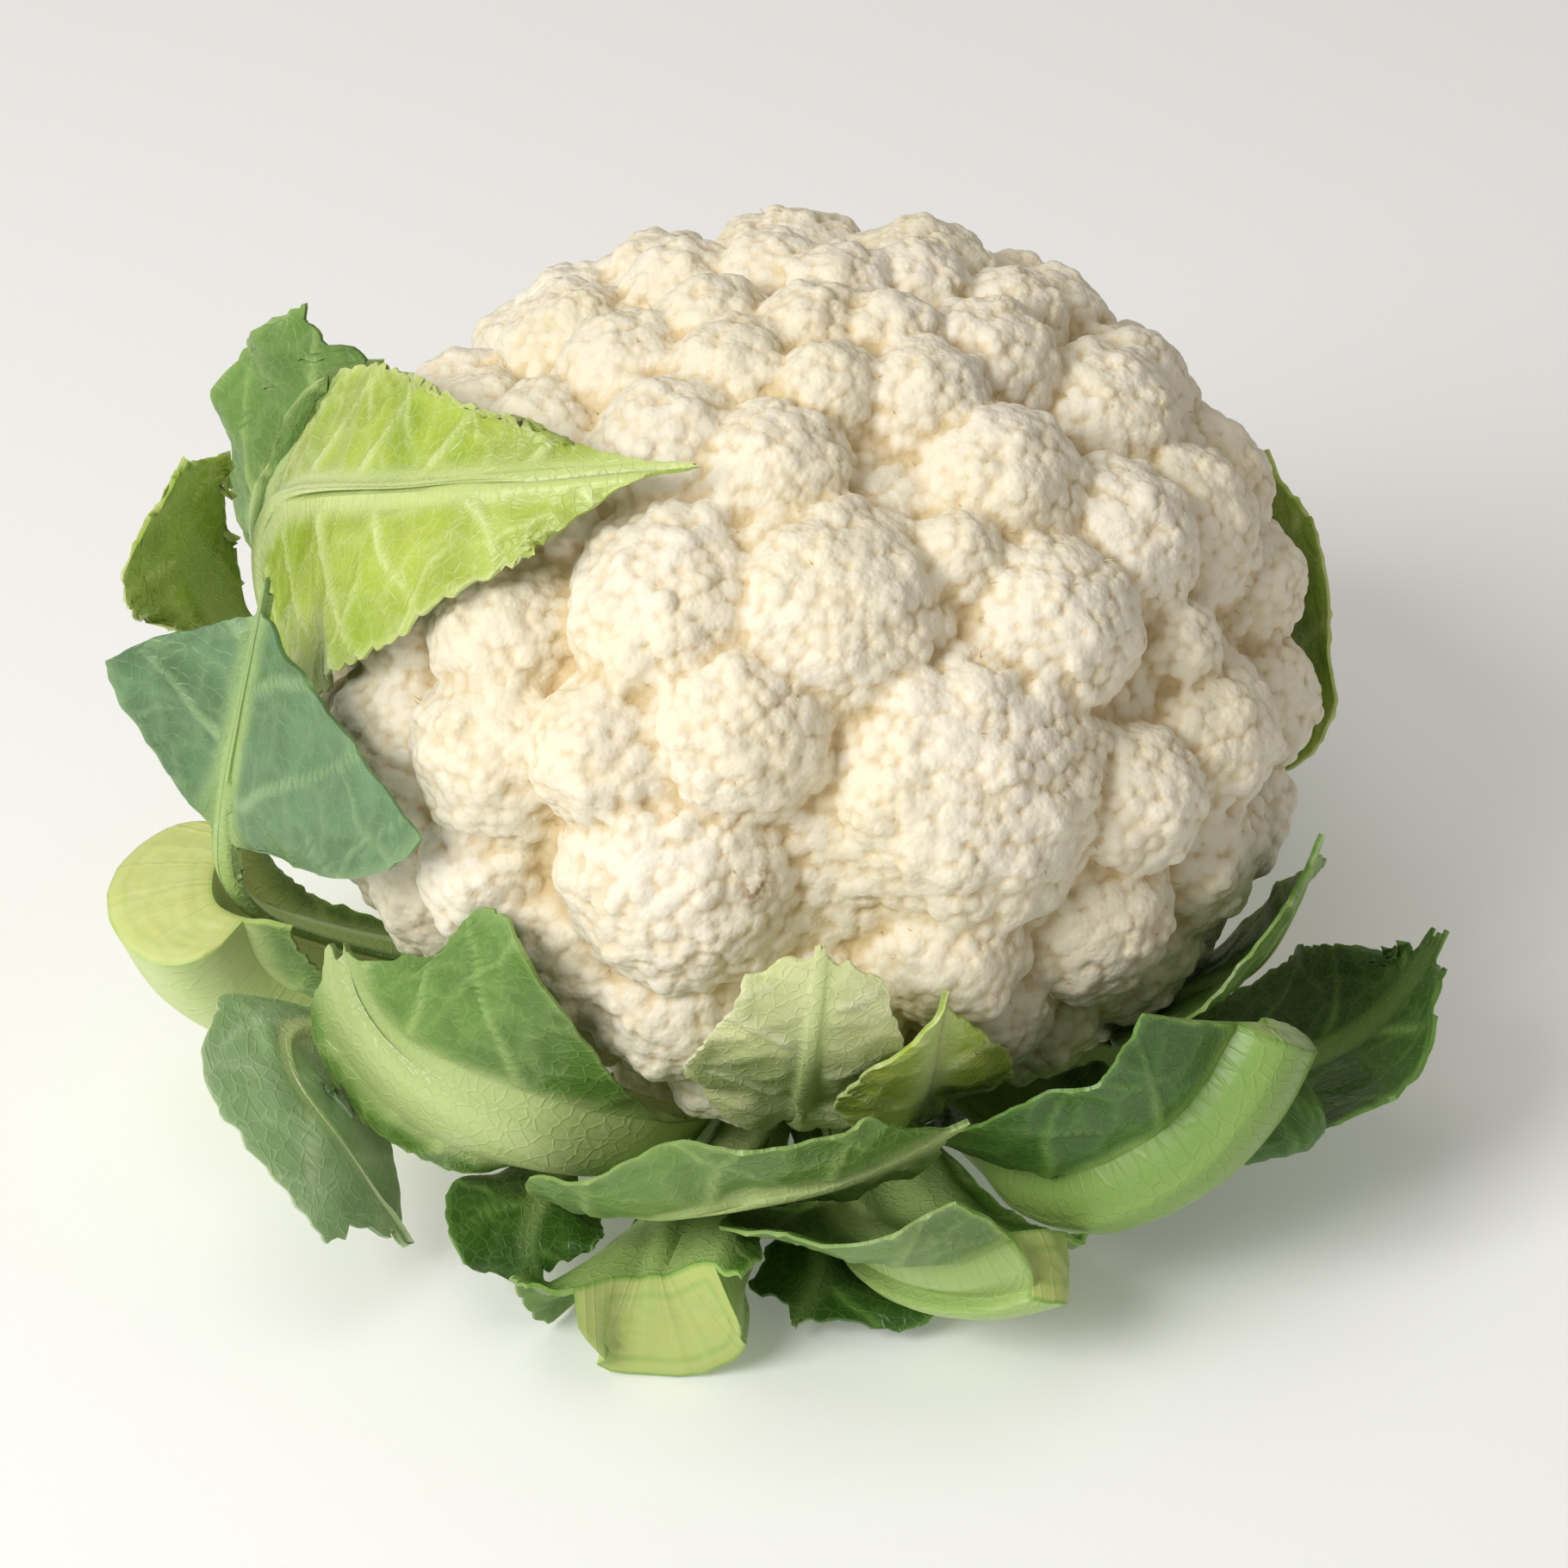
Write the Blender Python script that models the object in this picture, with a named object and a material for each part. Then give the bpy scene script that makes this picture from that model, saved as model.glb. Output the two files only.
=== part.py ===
"""A trimmed head of cauliflower: one grown curd on its cut stump, in a ring of leaves.

Run it with blender --background --python part.py. Metres, +Z up, front towards -Y.
The origin is the centre of the stump's flat cut face.
"""

import math
import random
from collections import namedtuple

import bmesh
import bpy
import numpy as np
from mathutils import Vector
from mathutils.bvhtree import BVHTree

MM = 0.001

# Driving dimensions, in millimetres.
HEAD_WIDTH = 170.0
HEAD_HEIGHT = 146.0
HEAD_CENTRE_Z = 72.0
STUMP_RADIUS = 23.0
STUMP_TOP_Z = 24.0
STUMP_FLARE = 2.0
CUT_EDGE_ROUND = 1.2
GAP = 0.3
BLADE_THICKNESS = 1.5
CURD_CLEARANCE = 1.8
LEAF_CLEARANCE = 1.8
FLOOR_CLEARANCE = 0.4
# The flat above the stump reaches this far out, and the cone from there rises this steeply.
NECK_RADIUS = 43.0
NECK_SLOPE = 0.72

# How far the curd's plain body lies below its florets, as a share of a crown floret's radius,
# and how far down the head the florets reach their full size, in degrees.
CORE_BELOW_FLORETS = 0.55
FULL_SIZE_DOWN = 75.0

# Across a leaf: where the rounded back of the stalk is measured, as shares of the stalk's half
# width, and how deep the back is there, as shares of its depth.
BACK_PLACES = (0.0, 0.55, 1.0)
BACK_DEPTHS = (1.0, 0.85, 0.0)
# The margin that every blade has, even where it hasn't begun.
BLADE_MARGIN = 0.8
# A blade is full grown this far along its own length, and starts to narrow here.
FULL_BLADE = 0.45
NARROWING_FROM = 0.5

# Mesh fineness.
CURD_POINTS = 1900
STATION_SPACING = 13.0
STUMP_SEGMENTS = 36
CURVE_STEPS = 24
SHARP_ANGLE = 50.0

# A leaf that is pushed off its neighbours carries the leaf around the push this strongly, in
# this many rounds.
PUSH_FOLLOW = 0.5
PUSH_ROUNDS = 2

FLORET_SEED = 7
CROWN_FLORET = 9.0
SIDE_FLORET = 12.5
FLORET_SPREAD = 2.0
FLORET_SPACING = 0.86
LOWEST_FLORET = 138.0
SPIRAL_TRIALS = 900
GOLDEN_ANGLE = 180.0 * (3.0 - math.sqrt(5.0))

# The florets that give this head its face: degrees round from the front (+ is the right),
# degrees down from the crown, and radius.
LANDMARK_FLORETS = (
    (4, 50, 16),
    (-24, 52, 16),
    (22, 76, 22),
    (-17, 86, 18),
    (-50, 62, 12),
    (40, 58, 13),
    (62, 54, 12),
    (48, 38, 12),
    (-175, 38, 15),
    (150, 36, 14),
    (90, 46, 13),
    (-62, 84, 14),
    (38, 98, 13),
    (60, 82, 12),
    (2, 104, 12),
)

# route: the midrib's points as degrees round, radius and height. stalk and depth: its width and
# depth at the base, the middle and the end. blade: where it starts along the route, its reach to
# the left and right of the rib, and the share of that reach left at the end. fold and curl: how
# far each side turns towards the head, at the rib and again by its edge. roll: twist on the way.
Leaf = namedtuple("Leaf", "name route stalk depth blade fold curl roll colour")

PALE = (0.56, 0.60, 0.30)
YELLOW_GREEN = (0.50, 0.57, 0.16)
BLUE_GREEN = (0.20, 0.32, 0.13)
MID_GREEN = (0.14, 0.24, 0.06)
DARK_GREEN = (0.05, 0.10, 0.02)

# Listed from the innermost to the outermost, which is the order they are laid in.
LEAVES = (
    Leaf("front_pale_inner_leaf", ((-2, 27, 21), (-2, 52, 25), (-1, 76, 44), (0, 88, 65), (1, 89, 83)),
         (9, 5, 3), (3, 3, 1.5), (0.3, 15, 13, 0.5), (0, 0), (6, 6), 0, PALE),
    Leaf("front_bright_inner_leaf", ((24, 27, 21), (18, 54, 26), (13, 78, 46), (13, 88, 72)),
         (9, 5, 2), (3, 3, 1.5), (0.4, 11, 11, 0.1), (0, 0), (6, 6), 0, YELLOW_GREEN),
    Leaf("back_inner_leaf", ((166, 27, 21), (166, 56, 26), (166, 82, 48), (166, 88, 76)),
         (10, 6, 3), (3, 3, 1.5), (0.3, 18, 18, 0.4), (0, 0), (8, 8), 0, PALE),
    Leaf("right_upright_leaf", ((58, 27, 21), (57, 56, 26), (57, 84, 46), (61, 91, 70)),
         (10, 6, 3), (3, 3, 1.5), (0.3, 18, 18, 0.4), (0, 0), (8, 8), 0, DARK_GREEN),
    Leaf("back_right_leaf", ((110, 27, 21), (110, 58, 26), (110, 85, 48), (112, 89, 68), (119, 88, 88)),
         (10, 6, 3), (3, 3, 1.5), (0.3, 18, 18, 0.25), (0, 0), (10, 10), 0, YELLOW_GREEN),
    Leaf("left_draped_leaf", ((-110, 27, 21), (-108, 60, 27), (-103, 87, 58), (-97, 87, 94),
                              (-62, 65, 124), (-20, 46, 136)),
         (11, 7, 2), (3, 4, 1.5), (0.3, 18, 26, 0.1), (0, 0), (10, 10), 0, YELLOW_GREEN),
    Leaf("back_middle_leaf", ((-168, 27, 15), (-168, 60, 20), (-168, 90, 42), (-168, 98, 82)),
         (12, 10, 5), (4, 5, 2), (0.3, 26, 26, 0.7), (0, 0), (12, 12), 0, MID_GREEN),
    Leaf("right_back_upright_leaf", ((134, 27, 15), (133, 62, 20), (131, 90, 42), (129, 96, 82)),
         (12, 10, 5), (4, 5, 2), (0.3, 26, 26, 0.6), (0, 0), (12, 12), 0, MID_GREEN),
    Leaf("back_left_curled_leaf", ((-134, 27, 15), (-128, 64, 23), (-117, 95, 52), (-112, 98, 76),
                                   (-113, 84, 96), (-113, 66, 110)),
         (11, 10, 4), (4, 5, 2), (0.58, 18, 22, 0.9), (0, 0), (10, 10), -80, DARK_GREEN),
    Leaf("left_folded_leaf", ((-84, 27, 15), (-81, 62, 21), (-76, 92, 40), (-71, 98, 60), (-69, 96, 80),
                              (-71, 88, 108)),
         (11, 6, 2), (4, 4, 1.5), (0.66, 22, 40, 0.95), (-25, 0), (-10, 8), 0, BLUE_GREEN),
    Leaf("lower_left_leaf", ((-37, 27, 8), (-28, 54, 15), (-27, 76, 27), (-38, 88, 35), (-50, 91, 41),
                             (-57, 89, 54)),
         (11, 21, 6), (5, 6, 2), (0.45, 5, 25, 0.6), (0, 10), (0, 0), -75, MID_GREEN),
    Leaf("front_rolled_leaf", ((-8, 27, 15), (-12, 56, 18), (-18, 81, 24), (-9, 91, 34), (4, 94, 42),
                               (15, 93, 50)),
         (9, 6, 3), (4, 4, 1.5), (0.25, 15, 17, 0.5), (0, 0), (10, 10), 20, MID_GREEN),
    Leaf("left_drooping_leaf", ((-60, 27, 15), (-61, 62, 18), (-59, 92, 34), (-53, 102, 38), (-46, 99, 24),
                                (-42, 94, 4)),
         (8, 5, 2), (3, 3, 1.5), (0.4, 11, 14, 0.9), (0, 0), (-10, -10), 0, BLUE_GREEN),
    Leaf("front_left_drooping_leaf", ((-48, 27, 12), (-39, 60, 11), (-32, 82, 15), (-29, 91, 12),
                                      (-27, 90, 3)),
         (6, 4, 2), (3, 3, 1.5), (0.5, 10, 9, 0.3), (0, 0), (-10, -10), 0, DARK_GREEN),
    Leaf("left_torn_leaf", ((-114, 27, 8), (-114, 70, 20), (-108, 100, 54), (-98, 104, 90), (-88, 98, 114)),
         (10, 8, 3), (5, 6, 1.5), (0.6, 10, 12, 0.6), (0, 0), (0, 0), 45, YELLOW_GREEN),
    Leaf("right_outer_leaf", ((66, 27, 8), (63, 60, 12), (63, 84, 18), (68, 100, 28), (74, 108, 44)),
         (12, 9, 4), (5, 6, 2), (0.3, 26, 22, 0.25), (0, 0), (10, 10), 0, DARK_GREEN),
    Leaf("back_left_outer_leaf", ((-150, 27, 8), (-149, 66, 13), (-147, 100, 36), (-145, 106, 74)),
         (13, 20, 16), (5, 10, 8), (0.4, 16, 16, 0.8), (0, 0), (12, 12), 0, MID_GREEN),
    Leaf("back_right_outer_leaf", ((154, 27, 8), (152, 66, 13), (150, 100, 36), (148, 106, 72)),
         (13, 20, 16), (5, 10, 8), (0.4, 16, 16, 0.8), (0, 0), (12, 12), 0, MID_GREEN),
    Leaf("left_cut_stalk", ((-80, 27, 8), (-79, 63, 14), (-77, 88, 28), (-76, 95, 48)),
         (12, 18, 21), (5, 11, 18), (0.35, 5, 8, 0.5), (0, 0), (20, 20), 0, PALE),
    Leaf("right_cut_stalk", ((41, 27, 8), (34, 58, 14), (32, 82, 21), (40, 94, 34), (47, 96, 50)),
         (11, 18, 17), (5, 8, 9), (0.2, 19, 12, 0.9), (30, 25), (12, 10), 0, MID_GREEN),
    Leaf("front_right_cut_stalk", ((17, 27, 8), (12, 54, 12), (11, 74, 16), (16, 88, 21), (23, 95, 27)),
         (11, 20, 21), (5, 10, 12), (0.25, 16, 8, 0.9), (25, 5), (12, 10), 0, MID_GREEN),
    Leaf("front_left_cut_stalk", ((-18, 27, 8), (-17, 52, 14), (-16, 68, 20), (-15, 84, 23)),
         (11, 19, 22), (5, 12, 18), (0.5, 6, 6, 0.6), (30, 30), (10, 15), 0, MID_GREEN),
    Leaf("front_low_leaf", ((1, 27, 5), (1, 56, 6), (1, 77, 8), (-2, 88, 5)),
         (5, 4, 2), (3, 3, 1.5), (0.55, 8, 13, 0.3), (0, 0), (-6, -6), 0, DARK_GREEN),
)

CURD_COLOUR = (0.83, 0.75, 0.56)
STEM_COLOUR = (0.58, 0.62, 0.36)
CURD_ROUGHNESS = 0.75
LEAF_ROUGHNESS = 0.5


def clear_scene():
    for obj in list(bpy.data.objects):
        bpy.data.objects.remove(obj, do_unlink=True)


def material(name, colour, roughness):
    made = bpy.data.materials.new(name)
    made.use_nodes = True
    shader = made.node_tree.nodes["Principled BSDF"]
    shader.inputs["Base Color"].default_value = (*colour, 1.0)
    shader.inputs["Roughness"].default_value = roughness
    shader.inputs["Metallic"].default_value = 0.0
    made.diffuse_color = (*colour, 1.0)
    return made


def add_object(name, points, faces, colour, roughness):
    """A smooth-shaded mesh object from points in millimetres, with its faces pointing out."""
    mesh = bpy.data.meshes.new(name)
    faces = [tuple(map(int, face)) for face in faces]
    mesh.from_pydata([Vector(point) * MM for point in points], [], faces)
    shaped = bmesh.new()
    shaped.from_mesh(mesh)
    bmesh.ops.triangulate(shaped, faces=shaped.faces)
    bmesh.ops.recalc_face_normals(shaped, faces=shaped.faces)
    shaped.to_mesh(mesh)
    shaped.free()
    mesh.shade_smooth()
    mesh.set_sharp_from_angle(angle=math.radians(SHARP_ANGLE))
    mesh.materials.append(material(name + "_surface", colour, roughness))
    obj = bpy.data.objects.new(name, mesh)
    bpy.context.collection.objects.link(obj)
    return obj


def direction(around, down):
    """The unit direction this many degrees round from the front and down from the crown."""
    around, down = math.radians(around), math.radians(down)
    level = math.sin(down)
    return np.array((level * math.sin(around), -level * math.cos(around), math.cos(down)))


def head_radius(way):
    """How far the head's plain rounded body reaches from its centre in a direction."""
    level = (way[0] ** 2 + way[1] ** 2) / (HEAD_WIDTH / 2) ** 2
    return 1.0 / math.sqrt(level + (way[2] / (HEAD_HEIGHT / 2)) ** 2)


def florets():
    """Every floret as (centre from the head's centre, radius): the landmarks, then a spiral packing."""
    dice = random.Random(FLORET_SEED)
    placed = [(direction(around, down), radius) for around, down, radius in LANDMARK_FLORETS]
    for step in range(SPIRAL_TRIALS):
        height = 1.0 - (1.0 - math.cos(math.radians(LOWEST_FLORET))) * (step + 0.5) / SPIRAL_TRIALS
        way = direction(step * GOLDEN_ANGLE, math.degrees(math.acos(height)))
        share = min(1.0, math.acos(height) / math.radians(FULL_SIZE_DOWN))
        radius = CROWN_FLORET + (SIDE_FLORET - CROWN_FLORET) * share + dice.uniform(-1, 1) * FLORET_SPREAD
        if all(floret_room(way, radius, other, size) for other, size in placed):
            placed.append((way, radius))
    return [(way * (head_radius(way) - radius), radius) for way, radius in placed]


def floret_room(way, radius, other, size):
    apart = np.linalg.norm(way * head_radius(way) - other * head_radius(other))
    return apart > FLORET_SPACING * (radius + size)


def curd_reach(ways, balls):
    """How far the curd reaches from the head's centre in each direction, in millimetres."""
    reach = np.array([head_radius(way) for way in ways]) - CROWN_FLORET * CORE_BELOW_FLORETS
    for centre, radius in balls:
        along = ways @ centre
        inside = radius ** 2 - centre @ centre + along ** 2
        reach = np.where(inside > 0, np.maximum(reach, along + np.sqrt(np.maximum(inside, 0))), reach)
    return np.minimum(reach, neck_limit(ways))


def neck_limit(ways):
    """How far the underside reaches: a flat over the stump, then a cone that rises outwards."""
    downward = np.maximum(-ways[:, 2], 1e-6)
    level = np.hypot(ways[:, 0], ways[:, 1])
    under = HEAD_CENTRE_Z - STUMP_TOP_Z - GAP
    cone = (under + NECK_SLOPE * NECK_RADIUS) / (downward + NECK_SLOPE * level)
    return np.minimum(under / downward, cone)


def spread_directions(count):
    """Evenly spread unit directions, from the crown down."""
    steps = np.arange(count) + 0.5
    height = 1.0 - 2.0 * steps / count
    turn = np.radians(GOLDEN_ANGLE) * steps
    level = np.sqrt(1.0 - height ** 2)
    return np.stack((level * np.sin(turn), -level * np.cos(turn), height), axis=1)


def add_curd(balls):
    ways = spread_directions(CURD_POINTS)
    hull = bmesh.new()
    for way in ways:
        hull.verts.new(way)
    bmesh.ops.convex_hull(hull, input=hull.verts)
    hull.verts.index_update()
    faces = [[vert.index for vert in face.verts] for face in hull.faces]
    hull.free()
    points = ways * curd_reach(ways, balls)[:, None]
    points[:, 2] += HEAD_CENTRE_Z
    return add_object("curd", points, faces, CURD_COLOUR, CURD_ROUGHNESS)


def add_stem():
    """The stump, turned from its half outline, with its flat cut face on the ground."""
    outline = (
        (STUMP_RADIUS - CUT_EDGE_ROUND, 0.0),
        (STUMP_RADIUS, CUT_EDGE_ROUND),
        (STUMP_RADIUS + STUMP_FLARE / 3, STUMP_TOP_Z / 2),
        (STUMP_RADIUS + STUMP_FLARE, STUMP_TOP_Z),
    )
    turns = [2 * math.pi * step / STUMP_SEGMENTS for step in range(STUMP_SEGMENTS)]
    points = [(r * math.cos(turn), r * math.sin(turn), z) for r, z in outline for turn in turns]
    faces = [list(range(STUMP_SEGMENTS))[::-1]]
    for ring in range(len(outline) - 1):
        low = ring * STUMP_SEGMENTS
        for step in range(STUMP_SEGMENTS):
            after = (step + 1) % STUMP_SEGMENTS
            high = low + STUMP_SEGMENTS
            faces.append((low + step, low + after, high + after, high + step))
    faces.append(range((len(outline) - 1) * STUMP_SEGMENTS, len(outline) * STUMP_SEGMENTS))
    return add_object("stem", points, faces, STEM_COLOUR, LEAF_ROUGHNESS)


def smooth_step(value):
    value = np.clip(value, 0.0, 1.0)
    return value * value * (3.0 - 2.0 * value)


def through_three(values, along):
    """The smooth curve that has these three values at the start, the middle and the end."""
    first, middle, last = values
    return first + (4 * middle - 3 * first - last) * along + 2 * (first + last - 2 * middle) * along ** 2


def smooth_route(route, spacing):
    """Evenly spaced points on a smooth curve through the route's points."""
    marks = [(r * math.sin(math.radians(a)), -r * math.cos(math.radians(a)), z) for a, r, z in route]
    marks = np.array(marks, float)
    ends = np.vstack((2 * marks[0] - marks[1], marks, 2 * marks[-1] - marks[-2]))
    fine = []
    for before, start, stop, after in zip(ends, ends[1:], ends[2:], ends[3:]):
        for t in np.linspace(0, 1, CURVE_STEPS, endpoint=False):
            fine.append(0.5 * (2 * start + (stop - before) * t
                               + (2 * before - 5 * start + 4 * stop - after) * t ** 2
                               + (3 * start - before - 3 * stop + after) * t ** 3))
    fine = np.array(fine + [marks[-1]])
    run = np.concatenate(([0], np.cumsum(np.linalg.norm(np.diff(fine, axis=0), axis=1))))
    wanted = np.linspace(0, run[-1], 1 + math.ceil(run[-1] / spacing))
    return np.stack([np.interp(wanted, run, fine[:, axis]) for axis in range(3)], axis=1)


def frames_along(spine, roll):
    """Tangent, inner normal and rightward side at each point, carried along with no sudden twist."""
    tangents = np.gradient(spine, axis=0)
    tangents /= np.linalg.norm(tangents, axis=1)[:, None]
    normal = np.array((0, 0, HEAD_CENTRE_Z)) - spine[0]
    normals, sides = [], []
    for step, tangent in enumerate(tangents):
        normal = normal - tangent * (normal @ tangent)
        normal /= np.linalg.norm(normal)
        side = np.cross(normal, tangent)
        turn = math.radians(roll) * step / (len(spine) - 1)
        normals.append(normal * math.cos(turn) + side * math.sin(turn))
        sides.append(side * math.cos(turn) - normal * math.sin(turn))
    return np.array(normals), np.array(sides)


def leaf_grid(leaf):
    """The inner face as a grid of points, and how deep the leaf is behind each of them."""
    spine = smooth_route(leaf.route, STATION_SPACING)
    count = len(spine)
    normals, sides = frames_along(spine, leaf.roll)
    along = np.linspace(0, 1, count)
    rib = through_three(leaf.stalk, along) / 2
    depth = through_three(leaf.depth, along)
    start, left, right, left_over = leaf.blade
    reached = np.clip((along - start) / (1 - start), 0, 1)
    narrowing = smooth_step((reached - NARROWING_FROM) / (1 - NARROWING_FROM))
    growth = smooth_step(reached / FULL_BLADE) * (1 - (1 - left_over) * narrowing)
    halves = ((-1, left, leaf.fold[0], leaf.curl[0]), (1, right, leaf.fold[1], leaf.curl[1]))
    columns, depths = [], []
    for hand, reach, fold, curl in halves:
        edge = rib + BLADE_MARGIN + reach * growth
        marks = [share * rib for share in BACK_PLACES] + [(rib + edge) / 2, edge]
        swell = BACK_DEPTHS + (0.0, 0.0)
        place = spine.copy()
        half = [place]
        for inner, outer in zip(marks, marks[1:]):
            angle = np.radians(fold + curl * (inner + outer) / (rib + reach + BLADE_MARGIN))
            step = (outer - inner)[:, None]
            along_side = hand * np.cos(angle)[:, None] * sides
            place = place + step * (along_side + np.sin(angle)[:, None] * normals)
            half.append(place)
        behind = [BLADE_THICKNESS + share * np.maximum(depth - BLADE_THICKNESS, 0) for share in swell]
        columns.append(half)
        depths.append(behind)
    grid = np.stack(columns[0][:0:-1] + columns[1], axis=1)
    return grid, np.stack(depths[0][:0:-1] + depths[1], axis=1)


def spread_push(push):
    """Eases a push over its neighbours, never to less than was asked for."""
    for _ in range(PUSH_ROUNDS):
        padded = np.pad(push, 1, mode="edge")
        around = [padded[1 + i:1 + i + push.shape[0], 1 + j:1 + j + push.shape[1]]
                  for i in (-1, 0, 1) for j in (-1, 0, 1)]
        eased = PUSH_FOLLOW * np.max(around, axis=0) + (1 - PUSH_FOLLOW) * np.mean(around, axis=0)
        push = np.maximum(push, eased)
    return push


def lay_outside(grid, balls, laid):
    """Moves a grid straight out from the head's centre until it clears the curd and earlier leaves."""
    offset = grid - (0, 0, HEAD_CENTRE_Z)
    radius = np.linalg.norm(offset, axis=2)
    ways = offset / radius[:, :, None]
    flat_ways = ways.reshape(-1, 3)
    needed = curd_reach(flat_ways, balls) + CURD_CLEARANCE
    if laid:
        far = 2 * HEAD_WIDTH
        centre = Vector((0, 0, HEAD_CENTRE_Z))
        for index, way in enumerate(flat_ways):
            way = Vector(way)
            for tree in laid:
                hit = tree.ray_cast(centre + way * far, -way, far)
                if hit[0] is not None:
                    needed[index] = max(needed[index], far - hit[3] + LEAF_CLEARANCE)
    push = np.maximum(needed.reshape(radius.shape) - radius, 0)
    return grid + ways * spread_push(push)[:, :, None]


def grid_normals(grid):
    """Unit normals of the grid, pointing to the leaf's inner side."""
    cross = np.cross(np.gradient(grid, axis=1), np.gradient(grid, axis=0))
    return -cross / np.linalg.norm(cross, axis=2)[:, :, None]


def leaf_solid(grid, depth):
    """Points and faces of the closed leaf between its inner face and its outer face."""
    outer = grid - grid_normals(grid) * depth[:, :, None]
    lift = np.maximum(FLOOR_CLEARANCE - np.minimum(grid[:, :, 2], outer[:, :, 2]), 0)
    grid[:, :, 2] += lift
    outer[:, :, 2] += lift
    rows, columns = depth.shape
    size = rows * columns
    faces = []
    for i in range(rows - 1):
        for j in range(columns - 1):
            a = i * columns + j
            quad = (a, a + 1, a + columns + 1, a + columns)
            faces.append(quad)
            faces.append(tuple(size + corner for corner in reversed(quad)))
    left = [i * columns for i in range(rows)]
    end = [(rows - 1) * columns + j for j in range(1, columns)]
    right = [i * columns + columns - 1 for i in range(rows - 2, -1, -1)]
    start = list(range(columns - 2, 0, -1))
    rim = left + end + right + start
    for here, after in zip(rim, rim[1:] + rim[:1]):
        faces.append((here, after, size + after, size + here))
    return np.vstack((grid.reshape(-1, 3), outer.reshape(-1, 3))), faces


def add_leaves(balls):
    laid = []
    for leaf in LEAVES:
        grid, depth = leaf_grid(leaf)
        points, faces = leaf_solid(lay_outside(grid, balls, laid), depth)
        add_object(leaf.name, points, faces, leaf.colour, LEAF_ROUGHNESS)
        laid.append(BVHTree.FromPolygons([Vector(point) for point in points], faces))


def main():
    clear_scene()
    balls = florets()
    add_curd(balls)
    add_stem()
    add_leaves(balls)


main()
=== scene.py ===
"""The looks of the trimmed cauliflower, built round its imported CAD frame.

Lengths are millimetres until a mesh is made. +Z is up, the front is towards -Y, and the
origin is the centre of the stump's cut face. Degrees round count from the front, + to the right.
"""

import math
import random
from collections import namedtuple

import bmesh
import bpy
import numpy as np
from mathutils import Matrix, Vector
from mathutils.bvhtree import BVHTree
from mathutils.kdtree import KDTree


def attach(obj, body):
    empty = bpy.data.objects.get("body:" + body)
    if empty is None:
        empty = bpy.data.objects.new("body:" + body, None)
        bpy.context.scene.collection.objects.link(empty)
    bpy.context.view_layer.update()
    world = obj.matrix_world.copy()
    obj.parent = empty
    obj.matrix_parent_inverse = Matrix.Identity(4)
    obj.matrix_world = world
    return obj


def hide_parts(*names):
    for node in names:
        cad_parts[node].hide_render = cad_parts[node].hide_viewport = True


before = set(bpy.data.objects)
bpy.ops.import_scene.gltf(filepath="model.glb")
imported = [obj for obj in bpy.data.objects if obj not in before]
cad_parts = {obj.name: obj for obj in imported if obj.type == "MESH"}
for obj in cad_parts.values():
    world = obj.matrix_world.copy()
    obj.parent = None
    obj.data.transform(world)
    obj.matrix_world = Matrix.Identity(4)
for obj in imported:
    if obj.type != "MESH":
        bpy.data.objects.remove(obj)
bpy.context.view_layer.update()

MM = 0.001

# The head, its florets, its stump and the leaves, as the CAD has them.
HEAD_WIDTH = 170.0
HEAD_HEIGHT = 146.0
HEAD_CENTRE_Z = 72.0
STUMP_RADIUS = 23.0
STUMP_TOP_Z = 24.0
STUMP_FLARE = 2.0
GAP = 0.3
BLADE_THICKNESS = 1.5
CURD_CLEARANCE = 1.8
LEAF_CLEARANCE = 1.8
FLOOR_CLEARANCE = 0.4
NECK_RADIUS = 43.0
NECK_SLOPE = 0.72
STATION_SPACING = 13.0
CURVE_STEPS = 24
CORE_BELOW_FLORETS = 0.55
FULL_SIZE_DOWN = 75.0
BACK_PLACES = (0.0, 0.55, 1.0)
BACK_DEPTHS = (1.0, 0.85, 0.0)
BLADE_MARGIN = 0.8
FULL_BLADE = 0.45
NARROWING_FROM = 0.5
PUSH_FOLLOW = 0.5
PUSH_ROUNDS = 2
FLORET_SEED = 7
CROWN_FLORET = 9.0
SIDE_FLORET = 12.5
FLORET_SPREAD = 2.0
FLORET_SPACING = 0.86
LOWEST_FLORET = 138.0
SPIRAL_TRIALS = 900
GOLDEN_ANGLE = 180.0 * (3.0 - math.sqrt(5.0))

# Finer shape than the CAD's.
VOXEL = 0.62
LEAF_SPACING = 0.95
KNOB_RADIUS = 4.4
KNOB_SUNK = 0.76
KNOB_STRAY = 0.22
GRAIN_SPACING = 2.7
GRAIN_HEIGHT = 0.8
GRAIN_SEED = 32
GRAIN_SIZES = (0.7, 1.25)
GRAIN_CROWDING = 0.8
GRAIN_REACH = 0.72
GRAIN_LEVEL = 0.8
FLORET_INSET = 1.4
SWELL = 1.17
FILLER_SEED = 8
FILLER_TRIALS = 2400
FILLER_RADIUS = (6.5, 9.0)
FILLER_OVERLAP = 1.32
FILLER_INSET = 5.0
VEIN_SPACING = 19.0
WEB_SIZE = 8.5
THIN_BLADE = 0.9
FINE_CLEARANCE = 0.35
FINE_EASING = 4

LANDMARK_FLORETS = (
    (4, 50, 16),
    (-24, 52, 16),
    (22, 76, 22),
    (-17, 86, 18),
    (-50, 62, 12),
    (40, 58, 13),
    (62, 54, 12),
    (48, 38, 12),
    (-175, 38, 15),
    (150, 36, 14),
    (90, 46, 13),
    (-62, 84, 14),
    (38, 98, 13),
    (60, 82, 12),
    (2, 104, 12),
)

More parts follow.
